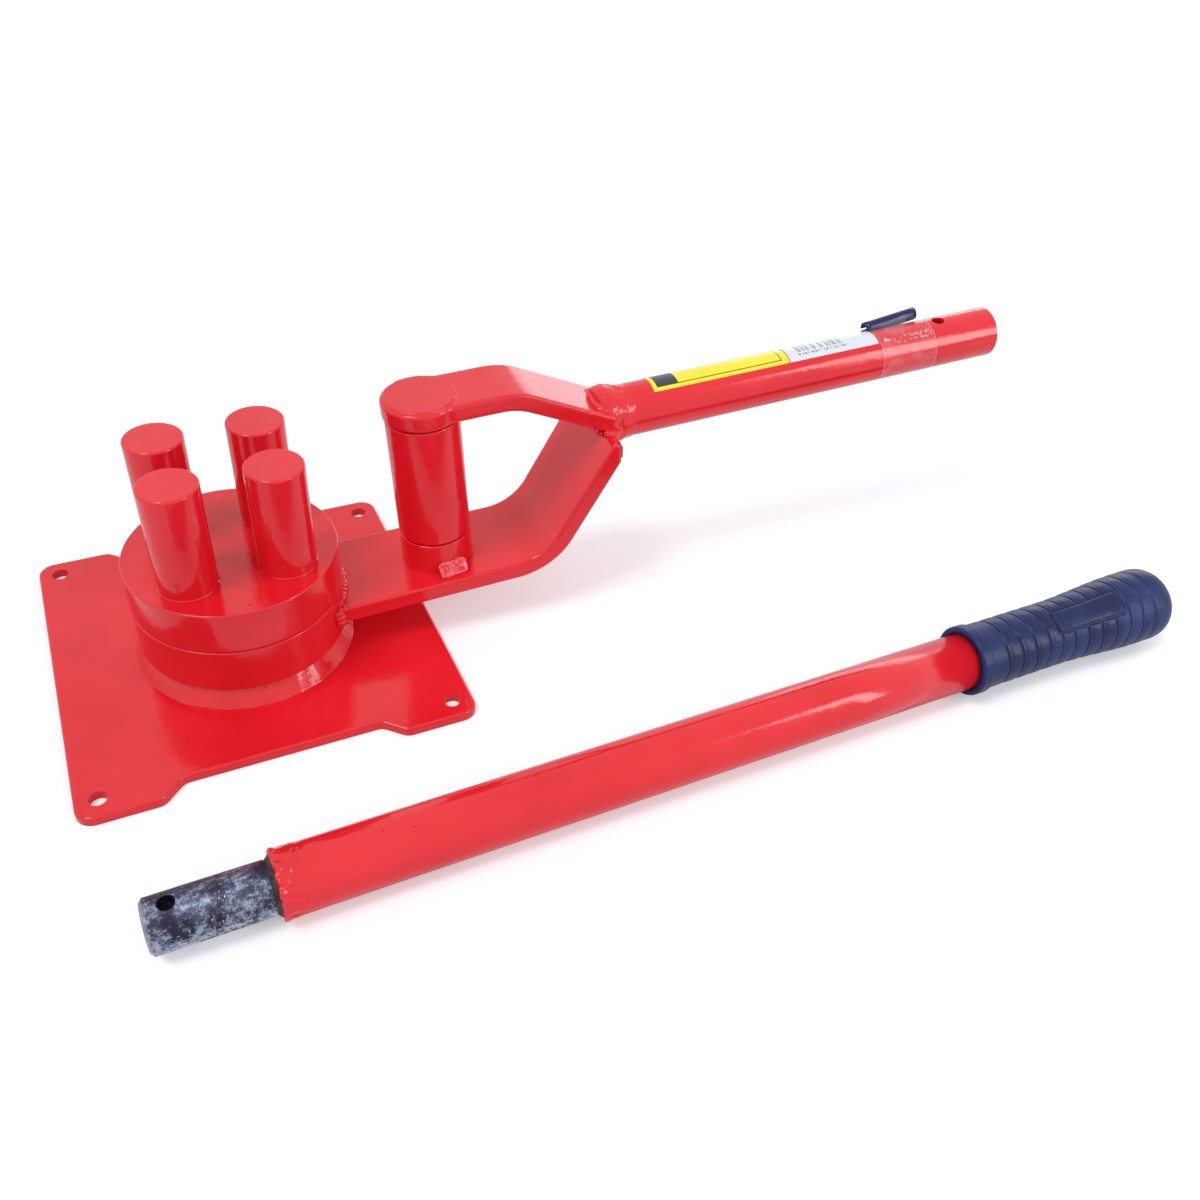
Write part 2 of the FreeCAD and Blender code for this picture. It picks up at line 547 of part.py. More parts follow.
# ---- extension lever ------------------------------------------------------------------------
def grip_profile():
    """Edges of half the grip's section: (distance along, radius), with its blind bore."""
    end = GRIP_LENGTH
    tube_end = GRIP_LENGTH - GRIP_CAP
    rim = GRIP_RIM_LENGTH
    shoulder = end - GRIP_END_ROUND
    crown = GRIP_BULGE_RADIUS - GRIP_END_ROUND * (1 - math.sqrt(0.5))
    side = Part.BSplineCurve()
    side.interpolate([V(x, 0, r) for x, r in (
        (rim + 2.0, GRIP_WAIST_RADIUS + 0.3), (rim + 30.0, GRIP_WAIST_RADIUS + 0.1),
        (GRIP_BULGE_PLACE * 0.6, GRIP_WAIST_RADIUS), (GRIP_BULGE_PLACE * 0.82, GRIP_WAIST_RADIUS + 1.0),
        (GRIP_BULGE_PLACE, GRIP_BULGE_RADIUS), (shoulder, GRIP_BULGE_RADIUS))])
    lip = V(rim + 2.0, 0, GRIP_WAIST_RADIUS + 0.3)
    return [line(V(0, 0, LEVER_TUBE_RADIUS), V(0, 0, GRIP_RIM_RADIUS - 1.0)),
            line(V(0, 0, GRIP_RIM_RADIUS - 1.0), V(1.0, 0, GRIP_RIM_RADIUS)),
            line(V(1.0, 0, GRIP_RIM_RADIUS), V(rim, 0, GRIP_RIM_RADIUS)),
            line(V(rim, 0, GRIP_RIM_RADIUS), lip),
            side.toShape(),
            arc([V(shoulder, 0, GRIP_BULGE_RADIUS), V(end - GRIP_END_ROUND * (1 - math.sqrt(0.5)), 0, crown),
                 V(end, 0, GRIP_BULGE_RADIUS - GRIP_END_ROUND)]),
            line(V(end, 0, GRIP_BULGE_RADIUS - GRIP_END_ROUND), V(end, 0, 0)),
            line(V(end, 0, 0), V(tube_end, 0, 0)),
            line(V(tube_end, 0, 0), V(tube_end, 0, LEVER_TUBE_RADIUS)),
            line(V(tube_end, 0, LEVER_TUBE_RADIUS), V(0, 0, LEVER_TUBE_RADIUS))]


def make_lever():
    """The loose lever: a tube with a welded spigot at one end and a rubber grip at the other."""
    height = LEVER_TUBE_RADIUS * math.cos(LEVER_TILT)
    lever = FreeCAD.Placement(V(LEVER_START, LEVER_OFFSET, height),
                              FreeCAD.Rotation(V(0, 1, 0), -math.degrees(LEVER_TILT))).toMatrix()
    origin = V(0, 0, 0)
    bore = LEVER_TUBE_RADIUS - LEVER_TUBE_WALL
    tube = pipe(LEVER_TUBE_RADIUS, bore, LEVER_TUBE_LENGTH, origin, ALONG)
    save("lever_tube", tube.transformed(lever))

    end = SPIGOT_EXPOSED + SPIGOT_INSIDE
    spigot = turned([(0, 0), (0, SPIGOT_RADIUS - SPIGOT_CHAMFER), (SPIGOT_CHAMFER, SPIGOT_RADIUS),
                     (SPIGOT_EXPOSED - SPIGOT_NECK, SPIGOT_RADIUS),
                     (SPIGOT_EXPOSED - SPIGOT_NECK, bore), (end, bore), (end, 0)],
                    V(-SPIGOT_EXPOSED, 0, 0), ALONG)
    hole = rod(LOCK_HOLE_RADIUS, 2 * (SPIGOT_RADIUS + OVERRUN),
               V(-SPIGOT_HOLE_PLACE, 0, -SPIGOT_RADIUS - OVERRUN))
    save("lever_spigot", one(spigot.cut(hole)).transformed(lever))
    weld = turned([(0, bore), (0, bore + SPIGOT_WELD), (SPIGOT_WELD, bore)], origin, -ALONG)
    save("spigot_weld", weld.transformed(lever))

    face = Part.Face(Part.Wire(grip_profile()))
    grip = face.revolve(origin, ALONG, 360)
    grip.translate(V(GRIP_START, 0, 0))
    save("rubber_grip", grip.transformed(lever))


os.makedirs("parts", exist_ok=True)
make_plate()
make_drum()
make_ring()
make_fork()
make_tube()
make_roller()
make_lever()
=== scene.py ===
"""Looks of a hand-operated rod bender and its loose extension lever, in the part's own frame.

Lengths are in millimetres until a mesh is made. The hub's frame is the row frame. The arm's frame
has X along the arm, Y across it and Z square to its bars, with its origin on the hub axis at the
lower bar's top face. The lever's frame has X along the lever from its red tube's left end.
Angles round a tube run from its back, over its top, to its front.
"""

import json
import math

import bmesh
import bpy
import numpy as np
from mathutils import Matrix, Vector


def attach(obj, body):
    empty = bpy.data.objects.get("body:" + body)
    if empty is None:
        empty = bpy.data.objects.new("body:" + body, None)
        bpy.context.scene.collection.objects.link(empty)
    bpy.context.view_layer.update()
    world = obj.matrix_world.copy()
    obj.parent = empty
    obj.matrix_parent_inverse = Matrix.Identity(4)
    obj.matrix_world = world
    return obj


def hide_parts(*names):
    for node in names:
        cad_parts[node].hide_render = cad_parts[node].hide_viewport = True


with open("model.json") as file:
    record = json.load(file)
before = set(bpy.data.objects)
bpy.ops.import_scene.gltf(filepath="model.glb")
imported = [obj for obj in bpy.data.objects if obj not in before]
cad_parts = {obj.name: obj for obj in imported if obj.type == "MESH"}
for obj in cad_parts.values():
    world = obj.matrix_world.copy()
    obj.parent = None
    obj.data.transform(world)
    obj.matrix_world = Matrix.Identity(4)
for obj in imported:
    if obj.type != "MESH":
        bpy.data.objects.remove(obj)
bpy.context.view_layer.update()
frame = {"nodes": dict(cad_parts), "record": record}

MM = 0.001
TAU = 2 * math.pi
MERGE = 1e-6              # metres, below which two vertices are one
BEAD_STEP = 0.5           # mean length of a ring of a weld bead
WAVES = 14                # sine waves that make up the lumps

# ---- frames, from the part's mounts ---------------------------------------------------------
mounts = {mount["name"]: mount for mount in frame["record"]["mounts"]}


def axis_of(name):
    return np.array(mounts[name]["axis"], float)


def place_of(name):
    return np.array(mounts[name]["pos_m"], float) / MM


ARM_LEVEL = 31.4
SPIGOT_MIDDLE = 28.7      # from the lever tube's end back to the middle of the sliding length
ARM_AXES = np.array([axis_of("arm_socket"), np.cross(axis_of("lock_hole"), axis_of("arm_socket")),
                     axis_of("lock_hole")])
ARM_ORIGIN = np.array([0.0, 0.0, ARM_LEVEL])
LEVER_ALONG = -axis_of("lever_spigot")
LEVER_AXES = np.array([LEVER_ALONG, [0.0, 1.0, 0.0], np.cross(LEVER_ALONG, [0.0, 1.0, 0.0])])
LEVER_ORIGIN = place_of("lever_spigot") + SPIGOT_MIDDLE * LEVER_ALONG

# ---- sizes of the drum and its pins ---------------------------------------------------------
DRUM_RADIUS = 55.7
PLATE_THICK = 5.0
FLANGE_TOP = 15.4
FLANGE_BORE = 40.0
SEAM = 0.45
RING_TOP = 42.15
RING_BORE = 34.0
EDGE_ROUND = 0.8
PIN_RADIUS = 15.0
PIN_HEIGHT = 60.7
PIN_SINK = 2.0            # how far each pin reaches down into the disc
PIN_EDGE = 1.0
WORK_FACE = 67.1
PIN_SPACING = (50.6, 44.0)

# ---- sizes of the fork and the roller -------------------------------------------------------
BAR_THICK = 10.0
LOWER_HALF = 30.0
LOWER_KNEE = 168.2
LOWER_BEND = math.radians(57.5)
LOWER_BEND_RADIUS = 30.0
UPPER_HALF = 17.5
EYE_RADIUS = 21.0
EYE_NECK = 14.0
UPPER_TOP = 103.5
UPPER_KNEE = 162.3
UPPER_BEND = math.radians(27.4)
UPPER_BEND_RADIUS = 45.0
FORK_END = 216.0
ROLLER_PLACE = 112.6
ROLLER_RADIUS = 20.0
ROLLER_BORE = 12.6
ROLLER_EDGE = 0.9
COLLAR_HEIGHT = 18.4
ROLLER_SPAN = (19.4, 92.5)
HEAD_RADIUS = 18.5
HEAD_PROUD = 0.8
PATCH_TURN = -82.0        # degrees round the collar, from along the arm
PATCH_SLOPE = 47.0        # degrees

# ---- sizes of the arm tube and what is stuck on it ------------------------------------------
TUBE_AXIS = 67.3
TUBE_RADIUS = 15.0
TUBE_SHIFT = np.array([0.0, 0.0, TUBE_AXIS])
YELLOW_SPAN = (244.0, 331.0)
WHITE_SPAN = (331.6, 392.0)
LABEL_ARC = (22.0, 122.0)
TAPE_SPAN = (393.0, 431.0)
TAPE_ARC = (72.0, 395.0)
FILM_THICK = 0.18
WEB_CHART = 60.0          # where the web lies on the tape's chart, clear of the wrinkled band and its painted reflection
PAST_TOP = 60.0           # past the upper edge of any label
PIN_TURN = math.radians(57.0)
PIN_LEAN = math.radians(5.0)
SPRING_PIN = (2.3, 3.8)   # bore and outer radius
SPRING_PIN_LENGTH = 36.0
SPRING_PIN_ARC = (12.0, 348.0)

# ---- sizes of the lever ---------------------------------------------------------------------
LEVER_TUBE_RADIUS = 16.0
LEVER_TUBE_BORE = 13.2    # at the visible rim, wider than the hidden bore
SPIGOT_EXPOSED = 56.0
GRIP_START = 383.0
GRIP_LENGTH = 148.0
GRIP_WAIST = 18.8
GRIP_BORE = 15.9
GRIP_MOUTH = 6.0          # how deep the bore is shown
BULGE_SPAN = (62.0, 122.0)
BULGE_RISE = 3.0
GRIP_RIM = 7.6            # length of the rim
RIM_EDGE = 1.2            # length of its slopes
RIM_RISE = 1.2
DOME_LENGTH = 17.0
DOME_FINE = 14.0          # the length before the end where the rings crowd together
PANEL_PLACE = 80.0        # of the panel's middle, from the rim
PANEL_TURN = 114.0        # degrees
PANEL_RADIUS = 19.5       # that the surface is unrolled at
PANEL_HALF = (21.0, 4.2)  # half-sizes without the rounding
PANEL_CORNER = 3.0
GROOVES = 12
GROOVE_START = 18.8
GROOVE_PITCH = 9.7
PIT_TURN = 128.0          # degrees from the panel to each row of pits
PIT_SPAN = (18.0, 60.0)


# ---- shapes ---------------------------------------------------------------------------------
def on_arm(points):
    """Points of the arm's frame, in the row frame."""
    return ARM_ORIGIN + points @ ARM_AXES


def on_lever(points):
    """Points of the lever's frame, in the row frame."""
    return LEVER_ORIGIN + points @ LEVER_AXES


def piece(name, grids, body, finish, nodes=(), charts=None):
    """A mesh from grids of points in millimetres, (rows, columns, 3) each.

    Each grid cell is a face. Rows and columns that lie on each other are merged, which closes
    seams and poles, and the faces are turned outwards. Charts are the grids' own coordinates.
    """
    points, faces, marks, count = [], [], [], 0
    for number, grid in enumerate(grids):
        rows, columns = grid.shape[:2]
        index = np.arange(rows * columns).reshape(rows, columns) + count
        faces.append(np.stack([index[:-1, :-1], index[:-1, 1:], index[1:, 1:], index[1:, :-1]],
                              -1).reshape(-1, 4))
        points.append(grid.reshape(-1, 3))
        if charts:
            marks.append(charts[number].reshape(-1, 2))
        count += rows * columns
    mesh = bpy.data.meshes.new(name)
    corners = np.concatenate(faces)
    mesh.from_pydata((np.concatenate(points) * MM).tolist(), [], corners.tolist())
    if charts:
        layer = mesh.uv_layers.new(name="chart")
        layer.data.foreach_set("uv", np.concatenate(marks)[corners.ravel()].ravel())
    work = bmesh.new()
    work.from_mesh(mesh)
    bmesh.ops.remove_doubles(work, verts=work.verts, dist=MERGE)
    bmesh.ops.dissolve_degenerate(work, edges=work.edges, dist=MERGE)
    bmesh.ops.recalc_face_normals(work, faces=work.faces)
    work.to_mesh(mesh)
    work.free()
    mesh.polygons.foreach_set("use_smooth", np.ones(len(mesh.polygons), bool))
    mesh.materials.append(finish)
    thing = bpy.data.objects.new(name, mesh)
    bpy.context.scene.collection.objects.link(thing)
    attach(thing, body)
    if nodes:
        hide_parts(*nodes)
    return thing


def lumps(points, size, seed):
    """Smooth unevenness from about -1 to 1: the mean of sine waves in random directions."""
    draw = np.random.default_rng(seed)
    waves = draw.normal(size=(WAVES, 3))
    waves /= np.linalg.norm(waves, axis=1, keepdims=True)
    waves *= TAU / (size * draw.uniform(0.7, 1.8, (WAVES, 1)))
    return np.sin(points @ waves.T + draw.uniform(0, TAU, WAVES)).mean(-1) * 2.2


def rounded(corners, radius, steps=7, guard=0.4):
    """A line through the corners, each inner one replaced by an arc of the radius.

    The arc is smaller where a side is too short for it. A point a little before and
    after each arc keeps the shading of the flats even.
    """
    corners = [np.array(corner, float) for corner in corners]
    points = [corners[0]]
    for before, corner, after in zip(corners, corners[1:], corners[2:]):
        back = (before - corner) / np.linalg.norm(before - corner)
        on = (after - corner) / np.linalg.norm(after - corner)
        half = math.acos(np.clip(back @ on, -1, 1)) / 2
        reach = min(radius / math.tan(half), 0.45 * np.linalg.norm(before - corner),
                    0.45 * np.linalg.norm(after - corner))
        size = reach * math.tan(half)
        centre = corner + (back + on) / np.linalg.norm(back + on) * size / math.sin(half)
        points.append(corner + back * (reach + guard * radius))
        start = corner + back * reach - centre
        end = corner + on * reach - centre
        for share in np.linspace(0, 1, steps):
            spoke = start * (1 - share) + end * share
            points.append(centre + spoke / np.linalg.norm(spoke) * size)
        points.append(corner + on * (reach + guard * radius))
    points.append(corners[-1])
    return np.array(points)


def turned(profile, columns=144, axis="z", foot=(0.0, 0.0, 0.0)):
    """A surface of revolution: (place, radius) points of a profile carried round Z or X."""
    angle = np.linspace(0, TAU, columns + 1)
    place, radius = profile[:, :1], profile[:, 1:]
    first, second = radius * np.cos(angle), radius * np.sin(angle)
    along = np.broadcast_to(place, first.shape)
    order = (first, second, along) if axis == "z" else (along, first, second)
    return np.stack(order, -1) + np.array(foot)


def bead(path, radius, seed, columns=20, ripple=3.2, rough=0.20):
    """A weld bead: a round tube along a path, its radius rippled along it, lumpy and closed.

    The radius at share s of the path is the given one times (1 - (2s - 1)^6)^0.5, times one plus
    a ripple in the length and the lumps.
    """
    path = np.array(path, float)
    step = np.linalg.norm(np.diff(path, axis=0), axis=1)
    length = np.concatenate([[0], np.cumsum(step)])
    rows = max(24, int(length[-1] / BEAD_STEP))
    share = np.sin(np.linspace(-math.pi / 2, math.pi / 2, rows)) / 2 + 0.5
    centre = np.stack([np.interp(share * length[-1], length, path[:, i]) for i in range(3)], -1)
    run = np.gradient(centre, axis=0)
    run /= np.linalg.norm(run, axis=1, keepdims=True)
    side = np.cross(run, [0.31, 0.17, 0.93])
    side /= np.linalg.norm(side, axis=1, keepdims=True)
    lift = np.cross(run, side)
    angle = np.linspace(0, TAU, columns + 1)[None, :, None]
    spoke = side[:, None] * np.cos(angle) + lift[:, None] * np.sin(angle)
    taper = np.sqrt(np.clip(1 - np.abs(2 * share - 1) ** 6, 0, 1))[:, None]
    size = radius * taper * (1 + 0.10 * np.cos(TAU * share * length[-1] / ripple))[:, None]
    size = size * (1 + rough * lumps(centre[:, None] + spoke * radius, 2.4 * radius, seed))
    return centre[:, None] + spoke * size[..., None]


def blob(centre, axes, halves, seed, power=2.6, rough=0.16):
    """A flattened lump of weld: a superellipsoid of the half-sizes along the axes, uneven."""
    up = np.linspace(-math.pi / 2, math.pi / 2, 25)[:, None]
    turn = np.linspace(0, TAU, 41)[None, :]

    def bent(value):
        return np.sign(value) * np.abs(value) ** (2 / power)

    local = np.stack([bent(np.cos(up)) * bent(np.cos(turn)), bent(np.cos(up)) * bent(np.sin(turn)),
                      bent(np.sin(up)) * np.ones_like(turn)], -1)
    local *= (1 + rough * lumps(local * max(halves), 0.9 * max(halves), seed))[..., None]
    return np.array(centre) + (local * np.array(halves)) @ np.array(axes)


def curl(span, arc, inner, outer, rows=60, columns=90, swell=None):
    """A sheet curled round the X axis: its outer face, its inner face and its closed rim.

    The radius is the outer one on the way out and the inner one on the way back; at both ends
    of the span the two meet halfway. Swell, a function of (place, angle), is added to both.
    """
    out = np.radians(np.linspace(arc[0], arc[1], columns))
    angle = np.concatenate([out, out[::-1], out[:1]])[None, :] + np.zeros((rows + 2, 1))
    face = np.concatenate([np.ones(columns), np.zeros(columns), [1.0]])[None, :]
    place = np.linspace(span[0], span[1], rows)
    place = np.concatenate([place[:1], place, place[-1:]])[:, None]
    closing = np.zeros((rows + 2, 1))
    closing[[0, -1]] = 1.0
    radius = inner + (outer - inner) * face
    radius = radius * (1 - closing) + (inner + outer) / 2 * closing
    place = place + 0.0 * angle
    if swell:
        radius = radius + swell(place, angle) * (1 - closing)
    grid = np.stack([place, radius * np.cos(angle), radius * np.sin(angle)], -1)
    chart = np.stack([place - span[0], inner * (np.radians(arc[1]) - angle) + 0.0 * place], -1)
    return grid, chart


def strip_bar(inner, outer, half, round_=1.3):
    """A bent flat bar: a rounded rectangle carried along two side-view lines, inner and outer.

    At each station the section spans the two lines and plus or minus the half-width; its four
    corners are arcs. The near end closes flat; the far end draws in by the same radius first.
    """
    turn = np.linspace(0, math.pi / 2, 6)
    guard = 0.5 * round_
    share = np.concatenate([[0.0] * 8, [1.0] * 16, [0.0] * 9])
    sign = np.concatenate([[1.0] * 16, [-1.0] * 16, [1.0]])
    lead = np.concatenate([[round_ + guard], round_ * (1 - np.sin(turn)), [0.0]])
    pull = np.concatenate([[0.0], round_ * (1 - np.cos(turn)), [round_ + guard]])
    lift = np.concatenate([lead[::-1], -lead, -lead[::-1], lead, lead[-1:]])
    draw = np.concatenate([pull[::-1], pull, pull[::-1], pull, pull[-1:]])
    stations = [(inner[0], outer[0], 0.0), *((a, b, 0.0) for a, b in zip(inner, outer))]
    end_in, end_out = inner[-1], outer[-1]
    way = (inner[-1] - inner[-2]) / np.linalg.norm(inner[-1] - inner[-2])
    stations[-1] = (end_in - way * round_ * 1.4, end_out - way * round_ * 1.4, 0.0)
    for angle in turn:
        shift = way * round_ * (1 - math.sin(angle))
        stations.append((end_in - shift, end_out - shift, round_ * (1 - math.cos(angle))))
    rows = []
    for first, second, inset in stations:
        thick = np.linalg.norm(second - first)
        toward = (second - first) / thick
        away = share * thick + lift
        away = np.clip(away, inset, thick - inset)
        flat = first + away[:, None] * toward
        across = sign * np.clip(half - draw, 0, half - inset)
        rows.append(np.stack([flat[:, 0], across, flat[:, 1]], -1))
    for end in (0, -1):
        middle = rows[end].mean(0) + 0.0 * rows[end]
        rows.insert(0 if end == 0 else len(rows), middle)
    return np.array(rows)


def knee_line(start, knee, turn, radius, end, counts=(14, 26, 16)):
    """A side-view line: straight at the knee's level, an arc upwards, then straight to the end."""
    reach = radius * math.tan(turn / 2)
    first = np.array([knee[0] - reach, knee[1]])
    swing = np.linspace(0, turn, counts[1])
    arc = first + radius * np.stack([np.sin(swing), 1 - np.cos(swing)], -1)
    lead = np.linspace([start, knee[1]], first, counts[0], endpoint=False)
    tail = np.linspace(arc[-1], end, counts[2] + 1)[1:]
    return np.concatenate([lead, arc, tail])


def lower_bar():
    """The wide lower bar of the fork, from inside the ring to the fork's end."""
    slope, fall = math.tan(LOWER_BEND), math.tan(UPPER_BEND)
    under = UPPER_TOP - BAR_THICK / math.cos(UPPER_BEND)
    corner_x = (under + UPPER_KNEE * fall + LOWER_KNEE * slope) / (slope + fall)
    corner = np.array([corner_x, (corner_x - LOWER_KNEE) * slope])
    tip = np.array([FORK_END, under - (FORK_END - UPPER_KNEE) * fall])
    heel_level = (FORK_END - LOWER_KNEE) * slope - BAR_THICK / math.cos(LOWER_BEND)
    heel = np.array([FORK_END, heel_level])
    inner = knee_line(RING_BORE + 8, (LOWER_KNEE, 0.0), LOWER_BEND, LOWER_BEND_RADIUS, corner)
    inner = np.concatenate([inner, np.linspace(corner, tip, 5)[1:]])
    shift = BAR_THICK * math.tan(LOWER_BEND / 2)
    outer = knee_line(RING_BORE + 8, (LOWER_KNEE + shift, -BAR_THICK), LOWER_BEND,
                      LOWER_BEND_RADIUS + BAR_THICK, heel, (14, 26, 20))
    return on_arm(strip_bar(inner, outer, LOWER_HALF))


def bar_level(x, radius, level):
    """Height of the upper bar's top or bottom face: level, an arc downwards, then the slope."""
    reach = UPPER_BEND_RADIUS * math.tan(UPPER_BEND / 2)
    first = UPPER_KNEE - reach
    drop = radius - np.sqrt(np.maximum(radius ** 2 - np.maximum(x - first, 0) ** 2, 0.01))
    last = first + radius * math.sin(UPPER_BEND)
    slope = radius * (1 - math.cos(UPPER_BEND)) + (x - last) * math.tan(UPPER_BEND)
    return level - np.where(x < last, drop, slope)


def upper_bar(round_=1.6):
    """The upper bar with its round eye: its plan outline drawn in, over the edge and back.

    The outline is the eye's circle, two hollow neck arcs and two straight sides. Each ring of
    the surface is the outline moved inwards; the outermost ones close on the bar's middle line.
    """
    rise = UPPER_HALF + EYE_NECK
    reach = math.sqrt((EYE_RADIUS + EYE_NECK) ** 2 - rise ** 2)
    meet = math.atan2(rise, reach)
    eye = np.linspace(math.pi, meet, 60)
    first = np.stack([ROLLER_PLACE + EYE_RADIUS * np.cos(eye), EYE_RADIUS * np.sin(eye)], -1)
    neck = np.linspace(meet + math.pi, 1.5 * math.pi, 14)[1:]
    second = np.stack([ROLLER_PLACE + reach + EYE_NECK * np.cos(neck),
                       rise + EYE_NECK * np.sin(neck)], -1)
    third = np.linspace(second[-1], [FORK_END, UPPER_HALF], 70)[1:]
    half = np.concatenate([first, second, third])
    run = np.gradient(half, axis=0)
    run /= np.linalg.norm(run, axis=1, keepdims=True)
    inward = np.stack([run[:, 1], -run[:, 0]], -1)
    inward[0] = (1.0, 0.0)
    turn = np.linspace(0, math.pi / 2, 7)
    rings = [(round_ + 0.8, close, 0.0) for close in (1.0, 0.7, 0.4, 0.15, 0.0)]
    rings += [(round_ * (1 - math.sin(a)), 0.0, round_ * (1 - math.cos(a))) for a in turn]
    rings += [(0.0, 0.0, round_ + 0.8)]
    upper = np.array([(inset, close, depth, 1.0) for inset, close, depth in rings])
    lower = np.array([(inset, close, depth, 0.0) for inset, close, depth in rings[::-1]])
    rows = []
    for inset, close, depth, top in np.concatenate([upper, lower]):
        plan = half + inward * inset
        high = bar_level(plan[:, 0], UPPER_BEND_RADIUS, UPPER_TOP)
        low = bar_level(plan[:, 0], UPPER_BEND_RADIUS - BAR_THICK, UPPER_TOP - BAR_THICK)
        level = high - depth if top else low + depth
        side = np.stack([plan[:, 0], plan[:, 1] * (1 - close), level], -1)
        rows.append(np.concatenate([side[::-1] * [1, -1, 1], side[1:]]))
    return on_arm(np.array(rows))


def smooth(share):
    """The smooth step 3 s^2 - 2 s^3 of a share s from 0 to 1."""
    return share * share * (3 - 2 * share)


def bell(distance, width):
    """The bell exp(-(distance / width)^2)."""
    return np.exp(-(distance / width) ** 2)


def grip():
    """The rubber grip: rings of a waisted body with a rim, a dome, grooves, pits and a panel.

    Its radius is the waist's, plus smooth steps for the bulge and the rim, times
    (1 - d^2.7)^(1/2.3) at share d of the dome. Wavy grooves of bell section are cut at a steady
    pitch but stop at the panel. The panel's border is a groove too, whose distance is taken from
    a rounded rectangle on the unrolled surface; the panel inside it is hatched at both ends and
    stands up a little. Rows of pits lie between the first grooves.
    """
    dome_rows = GRIP_LENGTH - DOME_FINE * (1 - np.sin(np.linspace(0, math.pi / 2, 46)))
    place = np.unique(np.concatenate([np.linspace(0, GRIP_LENGTH - DOME_FINE, 430), dome_rows]))
    angle = np.linspace(0, TAU, 193)
    s, turn = np.meshgrid(place, angle, indexing="ij")
    bulge = np.clip((s - BULGE_SPAN[0]) / (BULGE_SPAN[1] - BULGE_SPAN[0]), 0, 1)
    rim = np.clip((GRIP_RIM - s) / RIM_EDGE, 0, 1)
    body = GRIP_WAIST + BULGE_RISE * smooth(bulge) + RIM_RISE * smooth(rim)
    body -= np.clip(1 - s / RIM_EDGE, 0, 1) ** 2
    dome = np.clip((s - GRIP_LENGTH + DOME_LENGTH) / DOME_LENGTH, 0, 1)
    body = body * np.clip(1 - dome ** 2.7, 0, 1) ** (1 / 2.3)
    around = (np.degrees(turn) - PANEL_TURN + 180) % 360 - 180
    arc = np.radians(around) * PANEL_RADIUS
    off = np.stack([np.abs(s - PANEL_PLACE) - PANEL_HALF[0], np.abs(arc) - PANEL_HALF[1]], -1)
    outside = (np.linalg.norm(np.maximum(off, 0), axis=-1) + np.minimum(off.max(-1), 0)
               - PANEL_CORNER)
    clear = 1 / (1 + np.exp(-(outside - 1.2) / 0.35))
    cut = np.zeros_like(s)
    for number in range(GROOVES):
        wave = 0.5 * np.sin(2 * turn + number) + 0.25 * np.sin(5 * turn + 2.3 * number)
        near = s - GROOVE_START - GROOVE_PITCH * number - wave
        if number == GROOVES - 1:
            near = near * 1.5
        cut += 1.05 * bell(near, 0.62) + 0.30 * bell(near - 1.6, 1.7) * (near > 0)
    rows_of_pits = bell(around - PIT_TURN, 7.0) + bell(around + PIT_TURN, 7.0)
    middle = (s - GROOVE_START) % GROOVE_PITCH - 4.8
    pits = bell(middle, 1.1) * rows_of_pits * (s > PIT_SPAN[0]) * (s < PIT_SPAN[1])
    panel_ends = np.abs(np.abs(s - PANEL_PLACE) - 18.0) < 4.0
    hatch = 0.25 * panel_ends * np.clip(np.sin(s * 4.2) * 2, 0, 1) * (outside < -1.6)
    radius = body - cut * clear - 1.2 * bell(outside, 0.55) - 1.2 * pits - hatch
    radius += 0.35 / (1 + np.exp((outside + 0.9) / 0.15))
    radius = np.maximum(radius, 0)
    radius[-1] = 0
    shell = np.stack([s, radius * np.cos(turn), radius * np.sin(turn)], -1)
    circle = np.stack([0 * angle, np.cos(angle), np.sin(angle)], -1)
    mouth = shell[:1] * [1, 0, 0] + circle * GRIP_BORE
    deep = mouth + [GRIP_MOUTH, 0, 0]
    grid = np.concatenate([deep * [1, 0, 0], deep, mouth, shell])
    grid[..., 0] += GRIP_START
    return on_lever(grid)


def lever_tube():
    """The lever's tube, its left rim swollen and lumpy where it was welded round the spigot.

    The swelling is the lumps plus one bump on top, faded by a bell along the tube. The tube is
    cut off at the floor.
    """
    end = GRIP_START + 20
    outer = np.concatenate([np.linspace(0.8, 26, 90), [60, 120, 200, 300, end]])
    profile = [(5.0, 0.0), (5.0, LEVER_TUBE_BORE), (1.5, LEVER_TUBE_BORE), (0.3, 13.7),
               (0.0, 14.4), (0.0, 15.0), (0.2, 15.6), (0.5, 15.85)]
    profile += [(x, LEVER_TUBE_RADIUS) for x in outer] + [(end, 0.0)]
    grid = turned(np.array(profile), 180, "x")
    radial = np.linalg.norm(grid[..., 1:], axis=-1, keepdims=True)
    fade = bell(grid[..., 0], 9.0) * np.clip((radial[..., 0] - 13.4) / 2, 0, 1)
    uneven = lumps(grid, 6.0, 3) + 0.75 * lumps(grid, 2.8, 4)
    turn = np.degrees(np.arctan2(grid[..., 2], grid[..., 1]))
    bump = bell(turn - 100, 9) * bell(grid[..., 0] - 2.5, 2.6)
    grow = fade * 0.75 * (uneven + 0.5) + 1.3 * bump * (radial[..., 0] > 14)
    grid[..., 1:] *= 1 + grow[..., None] / np.maximum(radial, 1)
    grid[..., 0] -= fade * (0.5 * uneven + 0.3)
    placed = on_lever(grid)
    placed[..., 2] = np.maximum(placed[..., 2], 0.0)
    return placed


